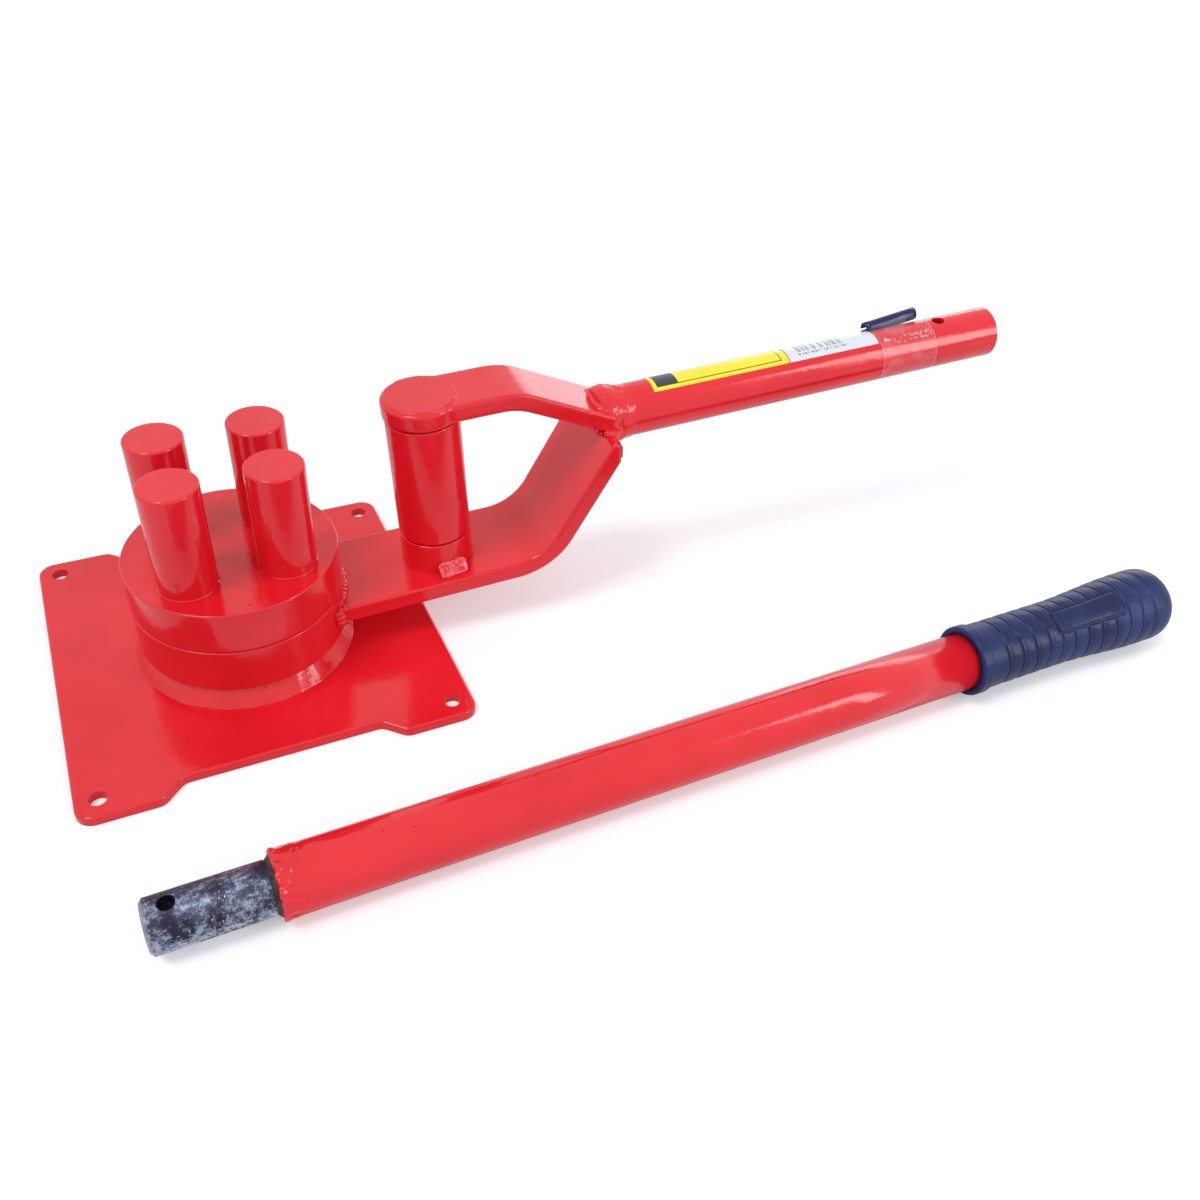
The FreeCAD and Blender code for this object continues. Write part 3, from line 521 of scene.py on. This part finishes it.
# ---- finishes -------------------------------------------------------------------------------
class Wire:
    """A socket in a tree's maths: an operator on it adds the Math node that works it out."""

    def __init__(self, nodes, socket):
        self.nodes = nodes
        self.socket = socket

    def math(self, operation, *values):
        return self.nodes.node("ShaderNodeMath", {"operation": operation}, dict(enumerate(values)))

    def __add__(self, other):
        return self.math("ADD", self, other)

    def __sub__(self, other):
        return self.math("SUBTRACT", self, other)

    def __rsub__(self, other):
        return self.math("SUBTRACT", other, self)

    def __mul__(self, other):
        return self.math("MULTIPLY", self, other)

    __radd__ = __add__
    __rmul__ = __mul__

    def greater(self, other):
        return self.math("MAXIMUM", self, other)

    def step(self, start, end):
        """0 before start and 1 after end, smooth between; falling where start is the greater."""
        return self.nodes.node("ShaderNodeMapRange", {"interpolation_type": "SMOOTHSTEP"},
                               {"Value": self, "From Min": start, "From Max": end})


class Nodes:
    """A node tree. One method, node, adds any node and joins its inputs."""

    def __init__(self, tree):
        self.tree = tree

    def node(self, kind, settings=None, inputs=None, output=0):
        node = self.tree.nodes.new(kind)
        for key, value in (settings or {}).items():
            setattr(node, key, value)
        for key, value in (inputs or {}).items():
            self.join(node.inputs[key], value)
        return Wire(self, node.outputs[output])

    def join(self, socket, value):
        if isinstance(value, Wire):
            self.tree.links.new(value.socket, socket)
        else:
            socket.default_value = value


class Finish(Nodes):
    """A procedural material. Uniform values go on the shader when it is made, the rest by set."""

    def __init__(self, name, **uniform):
        self.material = bpy.data.materials.new(name)
        self.material.use_nodes = True
        super().__init__(self.material.node_tree)
        self.shader = self.tree.nodes["Principled BSDF"]
        self.set(**uniform)
        self.place = self.node("ShaderNodeTexCoord", output="Object")

    def set(self, **values):
        for socket, value in values.items():
            self.join(self.shader.inputs[socket.replace("_", " ")], value)
        return self.material

    def noise(self, scale, detail=2.0, place=None):
        return self.node("ShaderNodeTexNoise", None,
                         {"Vector": place or self.place, "Scale": scale, "Detail": detail})

    def cells(self, scale, output="Distance"):
        return self.node("ShaderNodeTexVoronoi", None, {"Vector": self.place, "Scale": scale},
                         output)

    def blend(self, share, first, second):
        return self.node("ShaderNodeMix", {"data_type": "RGBA"}, {0: share, 6: first, 7: second}, 2)

    def along(self, axis, origin):
        """Distance in metres along an axis of the object, from an origin in millimetres."""
        dot = self.node("ShaderNodeVectorMath", {"operation": "DOT_PRODUCT"},
                        {0: self.place, 1: tuple(axis)}, "Value")
        return dot - float(np.dot(axis, origin)) * MM

    def bump(self, height, distance):
        return self.node("ShaderNodeBump", None, {"Height": height, "Distance": distance})


def rgb(red, green, blue):
    return (red, green, blue, 1.0)


def enamel(name, peel=1.0, shine=0.11, scuff_and_glint=0.0):
    """Thick glossy red enamel: orange peel, dust specks, slight colour drift, and pale scuffs that
    are partly wear and partly a painted glint.
    """
    paint = Finish(name, Specular_IOR_Level=0.5)
    drift = paint.noise(16.0, 3.0).step(0.3, 0.72)
    colour = paint.blend(drift, rgb(0.72, 0.009, 0.017), rgb(0.82, 0.016, 0.028))
    if scuff_and_glint:
        # Pale scuffs: partly wear, partly a painted glint.
        scuff_and_glint_mask = paint.noise(380.0, 4.0).step(0.40, 0.60)
        colour = paint.blend(scuff_and_glint_mask * scuff_and_glint, colour, rgb(0.88, 0.30, 0.36))
    chance = paint.node("ShaderNodeSeparateColor", None, {0: paint.cells(150.0, "Color")})
    speck = paint.cells(150.0).step(0.13, 0.06) * chance.step(0.80, 0.84)
    colour = paint.blend(speck * 0.55, colour, rgb(0.16, 0.004, 0.006))
    rough = shine + 0.07 * paint.noise(45.0, 3.0).step(0.35, 0.75) + 0.15 * speck
    height = paint.noise(170.0, 2.0) + paint.noise(520.0, 1.0) * 0.25 - speck * 0.8
    return paint.set(Base_Color=colour, Roughness=rough, Normal=paint.bump(height, 0.00009 * peel))


def mill_steel():
    """Bare round bar: dark blue-grey scale, pale scuffs and specks, fine scratches, overspray. The
    pale scuffs grow more and stronger towards the lower side, as a painted reflection.
    """
    steel = Finish("mill_steel")
    from_tip = steel.along(LEVER_ALONG, LEVER_ORIGIN - SPIGOT_EXPOSED * LEVER_ALONG)
    stretched = steel.node("ShaderNodeMapping", None,
                           {"Vector": steel.place, "Scale": (60.0, 420.0, 420.0)})
    scratch = steel.noise(1.0, 3.0, stretched)
    cloud = steel.noise(95.0, 6.0)
    fine = steel.noise(420.0, 4.0)
    height_up = steel.along((0.0, 0.0, 1.0), (0.0, 0.0, 0.0))
    # Painted reflection: 1 low on the bar and 0 higher up; it adds pale patches and makes them
    # stronger there.
    painted_low_reflection = height_up.step(0.028, 0.010)
    grit = steel.noise(1100.0, 3.0)
    wear_and_low_reflection = cloud * 0.42 + fine * 0.42 + grit * 0.35 + scratch * 0.20 + painted_low_reflection * 0.09
    pale = wear_and_low_reflection.step(0.66, 0.92)
    colour = steel.blend(cloud.step(0.35, 0.65), rgb(0.030, 0.026, 0.050),
                         rgb(0.075, 0.085, 0.150))
    # Pale scuffs, stronger on the lower side as a painted reflection.
    colour = steel.blend(pale * (0.5 + 0.5 * painted_low_reflection), colour, rgb(0.66, 0.72, 0.88))
    speck = steel.noise(900.0, 1.0).step(0.715, 0.745) * steel.noise(90.0, 2.0).step(0.45, 0.6)
    colour = steel.blend(speck, colour, rgb(0.85, 0.88, 0.95))
    tip = from_tip.step(0.0025, 0.0005)
    colour = steel.blend(tip * 0.55, colour, rgb(0.48, 0.50, 0.58))
    under_tip = height_up.step(0.013, 0.006) * from_tip.step(0.009, 0.002)
    spray = under_tip * steel.noise(220.0, 3.0).step(0.42, 0.55)
    spray = spray + steel.noise(330.0, 2.0).step(0.72, 0.76) * 0.35
    colour = steel.blend(spray, colour, rgb(0.62, 0.02, 0.02))
    height = pale * 0.6 + scratch * 0.4 + fine * 0.4
    return steel.set(Base_Color=colour, Metallic=0.85 - 0.6 * speck, Roughness=0.28 + 0.25 * cloud,
                     Normal=steel.bump(height, 0.00012))


def plain_steel(name, colour, rough, metallic=1.0):
    """Turned or rolled metal: a fine grain in its colour, shine and surface."""
    steel = Finish(name, Metallic=metallic)
    grain = steel.noise(900.0, 2.0)
    dim = tuple(0.72 * value for value in colour)
    mixed = steel.blend(grain.step(0.3, 0.7), rgb(*dim), rgb(*colour))
    return steel.set(Base_Color=mixed, Roughness=rough + 0.12 * grain,
                     Normal=steel.bump(grain, 0.00003))


def burnt_steel():
    """The weld round the spigot: brown heat tint over dark steel."""
    weld = Finish("burnt_weld", Metallic=0.4)
    cloud = weld.noise(240.0, 3.0)
    colour = weld.blend(cloud.step(0.4, 0.62), rgb(0.022, 0.016, 0.018), rgb(0.085, 0.05, 0.045))
    return weld.set(Base_Color=colour, Roughness=0.5 + 0.2 * cloud, Normal=weld.bump(cloud, 0.0006))


def grip_rubber():
    """Dark blue moulded rubber: a fine grain, a soft bloom, dust and slightly polished patches."""
    rubber = Finish("grip_rubber", Specular_IOR_Level=0.22)
    bloom = rubber.noise(38.0, 4.0)
    colour = rubber.blend(bloom.step(0.35, 0.7), rgb(0.011, 0.017, 0.078), rgb(0.022, 0.034, 0.135))
    dust = rubber.noise(700.0, 3.0).step(0.66, 0.74)
    colour = rubber.blend(dust * 0.35, colour, rgb(0.16, 0.19, 0.30))
    rough = 0.27 + 0.13 * bloom.step(0.3, 0.7)
    height = rubber.noise(900.0, 3.0) + rubber.noise(240.0, 2.0) * 0.6
    return rubber.set(Base_Color=colour, Roughness=rough, Normal=rubber.bump(height, 0.00009))


def chart_of(film):
    """Millimetres along a sheet, and up it from its lower edge."""
    chart = film.node("ShaderNodeUVMap", {"uv_map": "chart"})
    return [film.node("ShaderNodeSeparateXYZ", None, {0: chart}, part) for part in (0, 1)]


def between(value, low, high, soft=0.12):
    """1 from low to high and 0 outside, with soft edges inside the span."""
    return value.step(low, low + soft) * value.step(high, high - soft)


def yellow_label():
    """A yellow film with a thin dark frame and a dark block at its left end, both blank."""
    film = Finish("yellow_label", Coat_Weight=0.3, Coat_Roughness=0.12)
    along, up = chart_of(film)
    length = YELLOW_SPAN[1] - YELLOW_SPAN[0]
    inside = between(along, 2.6, length - 4.2) * between(up, 2.4, PAST_TOP)
    core = between(along, 3.2, length - 4.8) * between(up, 3.0, PAST_TOP)
    block = between(along, 3.0, 16.0) * between(up, 2.8, PAST_TOP)
    drift = film.noise(55.0, 2.0)
    colour = film.blend(drift, rgb(0.90, 0.74, 0.012), rgb(0.96, 0.84, 0.03))
    dark = film.blend(drift, rgb(0.010, 0.011, 0.016), rgb(0.03, 0.032, 0.045))
    colour = film.blend(inside * (1 - core), colour, dark)
    colour = film.blend(block, colour, dark)
    return film.set(Base_Color=colour, Roughness=0.34 + 0.12 * drift,
                    Normal=film.bump(drift, 0.0002))


def white_label():
    """A white film with a generic row of plain bars and a row of short ticks."""
    film = Finish("white_label", Coat_Weight=0.25, Coat_Roughness=0.15)
    along, up = chart_of(film)
    row = film.node("ShaderNodeCombineXYZ", None, {0: along, 1: 0.0, 2: 0.0})
    bars = film.noise(0.95, 0.0, row).step(0.50, 0.53)
    bars = bars * between(along, 7.0, 38.0) * between(up, 6.0, 14.0)
    ticks = film.noise(0.7, 0.0, row).step(0.47, 0.53)
    ticks = ticks * between(along, 6.0, 40.0) * between(up, 3.4, 4.9)
    drift = film.noise(55.0, 2.0)
    colour = film.blend(drift, rgb(0.70, 0.72, 0.77), rgb(0.78, 0.80, 0.84))
    colour = film.blend(bars.greater(ticks) * 0.8, colour, rgb(0.10, 0.12, 0.20))
    return film.set(Base_Color=colour, Roughness=0.36 + 0.12 * drift,
                    Normal=film.bump(drift, 0.0002))


def clear_tape():
    """Clear tape: nearly invisible film, milky along its edges, and milky where it is wrinkled in a
    band in front, which is a painted reflection.
    """
    film = Finish("clear_tape", Coat_Weight=0.6, Coat_Roughness=0.06)
    along, up = chart_of(film)
    length = TAPE_SPAN[1] - TAPE_SPAN[0]
    wrinkle = film.noise(480.0, 4.0).step(0.50, 0.66)
    # The band in front goes milky where wrinkled: a painted reflection of the wrinkles.
    band = between(up, 69.0, 74.6, 1.2) * between(along, 2.0, length - 1.0, 2.0)
    edge = between(along, 0.0, 0.6, 0.1) + between(along, length - 0.6, length + 1.0, 0.1)
    haze = film.noise(90.0, 2.0).step(0.5, 0.62)
    alpha = 0.025 + 0.38 * band * wrinkle + 0.12 * edge + 0.035 * haze
    colour = film.blend(wrinkle, rgb(0.90, 0.80, 0.84), rgb(1.0, 0.96, 0.98))
    return film.set(Base_Color=colour, Alpha=alpha, Roughness=0.10 + 0.15 * wrinkle,
                    Normal=film.bump(film.noise(260.0, 3.0), 0.0004))


RED = enamel("red_enamel")
RED_WELD = enamel("red_enamel_on_weld", 1.6, 0.09)
BLUED = plain_steel("blued_steel", (0.030, 0.038, 0.105), 0.25, 0.75)
BURNT = burnt_steel()
RUBBER = grip_rubber()
YELLOW, WHITE, TAPE = yellow_label(), white_label(), clear_tape()

slots = {part["node"]: part["material_slot"] for part in frame["record"]["subparts"]}
finishes = {"red_enamel": RED, "blued_steel": BLUED, "mill_steel": mill_steel(),
            "bare_steel": plain_steel("bare_steel", (0.52, 0.52, 0.54), 0.28),
            "bronze": plain_steel("bronze", (0.66, 0.45, 0.22), 0.34), "grip_rubber": RUBBER,
            "yellow_label": YELLOW, "white_label": WHITE, "clear_film": TAPE}
for name, node in frame["nodes"].items():
    node.data.materials.clear()
    node.data.materials.append(BURNT if name == "spigot_weld" else finishes[slots[name]])


# ---- drum and pins --------------------------------------------------------------------------
def red_piece(name, grids, body, nodes=(), finish=RED):
    return piece(name, grids, body, finish, nodes)


def spool(low, high, bore, radius, edge, columns, foot=(0.0, 0.0, 0.0)):
    """A turned disc, or a ring where it has a bore, with rounded edges."""
    corners = [(low, bore), (low, radius), (high, radius), (high, bore)]
    if bore:
        corners.append((low, bore))
    return turned(rounded(corners, edge), columns, foot=foot)


def flange():
    """The flange with its weld: a turned cone face whose radius the lumps make uneven."""
    profile = [(PLATE_THICK, FLANGE_BORE), (PLATE_THICK, DRUM_RADIUS + 3.6),
               (PLATE_THICK + 0.8, DRUM_RADIUS + 3.0), (FLANGE_TOP - 0.9, DRUM_RADIUS - 2.0),
               (FLANGE_TOP, DRUM_RADIUS - 2.6), (FLANGE_TOP, FLANGE_BORE)]
    grid = turned(rounded(profile, 0.6), 360)
    spread = np.linalg.norm(grid[..., :2], axis=-1)
    on_face = np.clip((spread - 52) / 2, 0, 1)
    uneven = 0.35 * (lumps(grid, 12.0, 11) + 0.4 * lumps(grid, 4.0, 12))
    grid[..., :2] *= (1 + on_face * uneven / spread)[..., None]
    return grid


red_piece("ring_shell", [spool(FLANGE_TOP + SEAM, RING_TOP, RING_BORE, DRUM_RADIUS, EDGE_ROUND,
                               200)], "arm", ["swing_ring"])
red_piece("disc_shell", [spool(RING_TOP + SEAM, WORK_FACE, 0.0, DRUM_RADIUS, EDGE_ROUND, 200)],
          "base", ["top_disc"])
pin_skirt = rounded([(WORK_FACE, PIN_RADIUS - 1), (WORK_FACE, PIN_RADIUS + 0.9),
                     (WORK_FACE + 1.0, PIN_RADIUS - 0.2)], 0.3, 3)
for corner, sign_x, sign_y in (("front_left", -1, -1), ("front_right", 1, -1),
                               ("back_left", -1, 1), ("back_right", 1, 1)):
    foot = (sign_x * PIN_SPACING[0] / 2, sign_y * PIN_SPACING[1] / 2, 0.0)
    pin = spool(WORK_FACE - PIN_SINK, WORK_FACE + PIN_HEIGHT, 0.0, PIN_RADIUS, PIN_EDGE, 120, foot)
    red_piece("pin_" + corner, [pin, turned(pin_skirt, 120, foot=foot)],
              "base", ["bend_pin_" + corner])
red_piece("flange_with_weld", [flange()], "base", ["base_flange", "flange_weld"], RED_WELD)


# ---- fork -----------------------------------------------------------------------------------
def ring_weld():
    """Beads where the lower bar meets the ring: three at each side and one across the top."""
    edge = math.sqrt(DRUM_RADIUS ** 2 - LOWER_HALF ** 2)
    beads = []
    for side, seed in ((-1, 21), (1, 22)):
        beads.append(bead([(edge + 1.2, side * 30.6, -9.5), (edge + 0.4, side * 31.0, 1.0)],
                          3.3, seed))
        beads.append(bead([(edge + 2.4, side * 30.2, -9.0), (edge + 5.8, side * 30.0, -8.6)],
                          1.6, seed + 4))
        beads.append(bead([(edge + 1.0, side * 29.4, -0.3), (edge + 6.0, side * 29.0, -0.4)],
                          1.9, seed + 8))
    turns = np.linspace(-0.52, 0.52, 60)
    reach = DRUM_RADIUS + 0.6
    over = np.stack([reach * np.cos(turns), reach * np.sin(turns), 0.3 + 0.02 * turns], -1)
    beads.append(bead(over, 2.3, 31))
    return [on_arm(grid) for grid in beads]


def apex_cone():
    """The weld round the tube's end: a turned outline, its radius made uneven by the lumps."""
    outline = np.array([(211.0, 15.6), (213.0, 17.0), (216.2, 17.4), (219.0, 17.0), (222.5, 16.2),
                        (226.0, 15.5), (229.5, 15.05), (232.0, 14.8), (234.0, 14.2)])
    start, end = outline[0, 0], outline[-1, 0]
    place = np.linspace(start, end, 66)
    fine = np.stack([place, np.interp(place, outline[:, 0], outline[:, 1])], -1)
    grid = turned(np.concatenate([[[start, 0.0]], fine, [[end, 0.0]]]), 140, "x", TUBE_SHIFT)
    spoke = (grid - TUBE_SHIFT) * [0, 1, 1]
    away = np.linalg.norm(spoke, axis=-1, keepdims=True)
    fade = np.clip((end - 1 - grid[..., :1]) / 10, 0, 1) * (away > 10)
    swelling = fade * (0.55 * lumps(grid, 9.0, 41) + 0.22 * lumps(grid, 3.5, 42))[..., None]
    return grid + spoke / np.maximum(away, 1) * swelling


def apex_weld():
    """The welds where the two bars and the tube meet: a cone, beads round it and a lump on top."""
    welds = [apex_cone()]
    for side, seed in ((-1, 51), (1, 52)):
        welds.append(bead([(209.5, side * 18.0, 68.0), (213.0, side * 19.0, 66.2),
                           (217.0, side * 17.5, 63.5)], 2.5, seed))
        welds.append(bead([(214.6, side * 15.0, 76.4), (216.6, side * 15.8, 70.0),
                           (216.6, side * 13.0, 60.0)], 2.0, seed + 2))
        welds.append(bead([(212.0, side * 22.5, 65.5), (215.6, side * 26.0, 62.0)], 1.8, seed + 4))
    welds.append(bead([(216.4, -14.0, 58.5), (217.6, 0.0, 55.0), (216.4, 14.0, 58.5)], 3.2, 57))
    welds.append(blob((212.5, 0.0, 75.2), [[0.9, 0, -0.3], [0, 1, 0], [0.3, 0, 0.9]],
                      (8.0, 15.0, 4.6), 59, 2.3, 0.09))
    welds.append(bead([(208.8, -17.0, 66.0), (208.6, 17.0, 66.0)], 2.6, 58))
    return [on_arm(grid) for grid in welds]


red_piece("lower_bar", [lower_bar()], "arm", ["lower_fork_bar"])
red_piece("upper_bar", [upper_bar()], "arm", ["upper_fork_bar"])
red_piece("ring_weld_beads", ring_weld(), "arm", ["ring_weld"], RED_WELD)
red_piece("apex_weld", apex_weld(), "arm", ["tube_weld", "fork_weld"], RED_WELD)

# ---- roller ---------------------------------------------------------------------------------
AXLE_FOOT = np.array([ROLLER_PLACE, 0.0, 0.0])


def axle_head():
    """The axle's low head on the upper bar, and the thin uneven bead round it."""
    low, high = UPPER_TOP - 2, UPPER_TOP + HEAD_PROUD
    head = rounded([(low, 0.0), (low, HEAD_RADIUS), (high, HEAD_RADIUS - 0.3),
                    (high - 0.15, 0.0)], 0.5)
    angle = np.linspace(0, TAU, 160)
    reach = HEAD_RADIUS + 0.2
    lip = np.stack([ROLLER_PLACE + reach * np.cos(angle), reach * np.sin(angle),
                    np.full_like(angle, UPPER_TOP - 0.15)], -1)
    return [on_arm(turned(head, 140, foot=AXLE_FOOT)), on_arm(bead(lip, 0.85, 61, 14, 9.0, 0.35))]


def collar_patch():
    """A flat lump of weld that slopes from the collar down on to the lower bar."""
    turn, slope = math.radians(PATCH_TURN), math.radians(PATCH_SLOPE)
    outwards = np.array([math.cos(turn), math.sin(turn), 0.0])
    sideways = np.array([-math.sin(turn), math.cos(turn), 0.0])
    upwards = np.array([0.0, 0.0, 1.0])
    down = outwards * math.cos(slope) - upwards * math.sin(slope)
    face = outwards * math.sin(slope) + upwards * math.cos(slope)
    middle = AXLE_FOOT + outwards * 22.3 + upwards * 3.4
    return on_arm(blob(middle, [sideways, down, face], (8.4, 4.5, 1.2), 71, 5.0, 0.07))


red_piece("roller_shell", [on_arm(spool(*ROLLER_SPAN, ROLLER_BORE, ROLLER_RADIUS, ROLLER_EDGE, 140,
                                        AXLE_FOOT))], "roller", ["roller_sleeve"])
collar = rounded([(-0.5, 0.0), (-0.5, ROLLER_RADIUS + 0.4), (COLLAR_HEIGHT, ROLLER_RADIUS),
                  (COLLAR_HEIGHT, 0.0)], ROLLER_EDGE)
red_piece("collar_shell", [on_arm(turned(collar, 140, foot=AXLE_FOOT))], "arm", ["roller_collar"])
red_piece("axle_head_shell", axle_head(), "arm", ["axle_head"])
# The patch's pale scuffs are partly wear and partly a painted glint.
red_piece("collar_weld", [collar_patch()], "arm", ["collar_patch"],
          enamel("red_enamel_worn_glinting", 1.8, 0.12, 0.42))

# ---- labels, tape and the taped-on pin ------------------------------------------------------
PIN_AWAY = np.array([0.0, math.cos(PIN_TURN), math.sin(PIN_TURN)])
PIN_BACK = np.cross(PIN_AWAY, [1.0, 0.0, 0.0])
PIN_AXES = np.array([[math.cos(PIN_LEAN), 0.0, 0.0] + PIN_AWAY * math.sin(PIN_LEAN), PIN_BACK,
                     PIN_AWAY])
PIN_FOOT = np.array([TAPE_SPAN[0] - 1.0, 0.0, 0.0]) + PIN_AWAY * (TUBE_RADIUS + 1.6)


def sheet_on_tube(name, span, arc, finish, node, lift, swell=None):
    """A film curled on the arm tube, a little off it."""
    grid, chart = curl(span, arc, TUBE_RADIUS + lift, TUBE_RADIUS + lift + FILM_THICK, swell=swell)
    return piece(name, [on_arm(grid + TUBE_SHIFT)], "arm", finish, [node], [chart])


def wrinkles(place, angle):
    """Ripples of the tape, stronger in a band in front."""
    points = np.stack([place, 15 * np.cos(angle), 15 * np.sin(angle)], -1)
    front = bell(np.degrees(angle) - 128, 14)
    return 0.10 + 0.10 * lumps(points, 9.0, 81) + front * 0.30 * np.abs(lumps(points, 2.6, 82))


def tape_web():
    """The tape's bridge from the tube to the spring pin, a thin closed skin, and its chart.

    Straight lines run from a line on the tube to one on the pin's front. At share a of the way
    across, the lumps times sin(pi a) lift it; the way back lies a skin's thickness lower.
    """
    share = np.linspace(0, 1, 40)[:, None]
    low_edge = np.full_like(share, math.radians(86.0))
    on_tube = np.concatenate([TAPE_SPAN[0] + 37 * share, 15.3 * np.cos(low_edge),
                              15.3 * np.sin(low_edge)], 1)
    on_pin = (PIN_FOOT + share * SPRING_PIN_LENGTH * 0.8 * PIN_AXES[0]
              - PIN_BACK * (SPRING_PIN[1] + 0.1) * (0.55 + 0.45 * share) + PIN_AWAY * 1.2)
    across = np.concatenate([np.linspace(0, 1, 14), np.linspace(1, 0, 14), [0.0]])[None, :, None]
    web = on_tube[:, None] * (1 - across) + on_pin[:, None] * across
    skin = np.concatenate([np.zeros(14), np.ones(14), [0.0]])[None, :]
    lift = 0.35 * lumps(web, 4.0, 91) * np.sin(math.pi * across[..., 0]) - 0.12 * skin
    web += lift[..., None] * PIN_AWAY
    along = web[..., 0] - TAPE_SPAN[0] + 3
    chart = np.stack([along, np.broadcast_to(WEB_CHART + 2 * across[..., 0], along.shape)], -1)
    return on_arm(web + TUBE_SHIFT), chart


sheet_on_tube("yellow_film", YELLOW_SPAN, LABEL_ARC, YELLOW, "label_long", 0.02)
sheet_on_tube("white_film", WHITE_SPAN, LABEL_ARC, WHITE, "label_short", 0.02)
sheet_on_tube("tape_film", TAPE_SPAN, TAPE_ARC, TAPE, "clear_tape", 0.05, wrinkles)
pin_grid = curl((0.0, SPRING_PIN_LENGTH), SPRING_PIN_ARC, *SPRING_PIN, rows=12, columns=50)[0]
piece("spring_pin", [on_arm(PIN_FOOT + TUBE_SHIFT + pin_grid @ PIN_AXES)], "arm", BLUED,
      ["lock_pin"])
web_grid, web_chart = tape_web()
piece("tape_web", [web_grid], "arm", TAPE, (), [web_chart])

# ---- lever ----------------------------------------------------------------------------------
red_piece("lever_tube_shell", [lever_tube()], "lever", ["lever_tube"])
piece("grip_shell", [grip()], "lever", RUBBER, ["rubber_grip"])

# ---- stage, light and camera, in metres -----------------------------------------------------
FLOOR_HALF = 6.0
FLOOR_LEVEL = -0.0003
FLOOR_GLOW = 0.30         # so that the floor stays near white for the camera
SKY_STRENGTH = 0.66

floor_mesh = bpy.data.meshes.new("floor")
floor_mesh.from_pydata([(FLOOR_HALF * x, FLOOR_HALF * y, FLOOR_LEVEL)
                        for x, y in ((-1, -1), (1, -1), (1, 1), (-1, 1))], [], [(0, 1, 2, 3)])
floor = bpy.data.objects.new("floor", floor_mesh)
bpy.context.scene.collection.objects.link(floor)
pale = Finish("pale_floor", Base_Color=rgb(0.80, 0.80, 0.82), Roughness=0.9,
              Specular_IOR_Level=0.1, Emission_Color=rgb(1, 1, 1))
seen = pale.node("ShaderNodeLightPath", output="Is Camera Ray")
floor_mesh.materials.append(pale.set(Emission_Strength=seen * FLOOR_GLOW))

# The sky lights with a dim cool white; seen directly, mirrored or through a film, it is white.
world = bpy.data.worlds.new("studio")
bpy.context.scene.world = world
world.use_nodes = True
world.node_tree.nodes.clear()
sky = Nodes(world.node_tree)
direct, mirrored, through = [sky.node("ShaderNodeLightPath", output="Is " + kind + " Ray")
                             for kind in ("Camera", "Glossy", "Transmission")]
lit = sky.node("ShaderNodeBackground", None,
               {"Color": rgb(0.93, 0.96, 1.0), "Strength": SKY_STRENGTH})
shown = sky.node("ShaderNodeBackground", None, {"Color": rgb(1, 1, 1)})
chosen = sky.node("ShaderNodeMixShader", None,
                  {0: direct.greater(mirrored).greater(through), 1: lit, 2: shown})
sky.join(sky.tree.nodes.new("ShaderNodeOutputWorld").inputs[0], chosen)


def lamp(name, kind, place, target, energy, **settings):
    """A lamp at a place, in metres, that shines at a target."""
    data = bpy.data.lights.new(name, kind)
    data.energy = energy
    for key, value in settings.items():
        setattr(data, key, value)
    thing = bpy.data.objects.new(name, data)
    bpy.context.scene.collection.objects.link(thing)
    thing.location = place
    thing.rotation_euler = (Vector(target) - Vector(place)).to_track_quat("-Z", "Y").to_euler()


lamp("key_sun", "SUN", (-0.6, -0.2, 1.6), (0.2, 0.0, 0.0), 1.15, angle=math.radians(20))
lamp("window", "AREA", (1.63, 1.20, 0.40), (0.2, 0.0, 0.12), 4.2, shape="RECTANGLE",
     size=1.3, size_y=0.6, color=(0.96, 0.93, 1.0))
lamp("side_strip", "AREA", (1.25, -1.20, 0.85), (0.1, 0.0, 0.05), 7.0, shape="RECTANGLE",
     size=0.35, size_y=1.0)

CAMERA_PLACE = (-0.0430, -0.5025, 0.4445)
CAMERA_TURN = math.radians(-27.96)
CAMERA_HEIGHT = math.radians(40.27)
CAMERA_ROLL = math.radians(4.57)
back = Vector((math.sin(CAMERA_TURN) * math.cos(CAMERA_HEIGHT),
               -math.cos(CAMERA_TURN) * math.cos(CAMERA_HEIGHT), math.sin(CAMERA_HEIGHT)))
right = (-back).cross(Vector((0, 0, 1))).normalized()
up = right.cross(-back)
camera_x = math.cos(CAMERA_ROLL) * right + math.sin(CAMERA_ROLL) * up
camera_y = -math.sin(CAMERA_ROLL) * right + math.cos(CAMERA_ROLL) * up
axes = Matrix((camera_x, camera_y, back)).transposed()
lens = bpy.data.cameras.new("camera")
lens.sensor_width = 36.0
lens.lens = 33.80
lens.clip_start = 0.02
camera = bpy.data.objects.new("camera", lens)
bpy.context.scene.collection.objects.link(camera)
camera.matrix_world = Matrix.Translation(CAMERA_PLACE) @ axes.to_4x4()
bpy.context.scene.camera = camera
bpy.context.scene.view_settings.view_transform = "Standard"
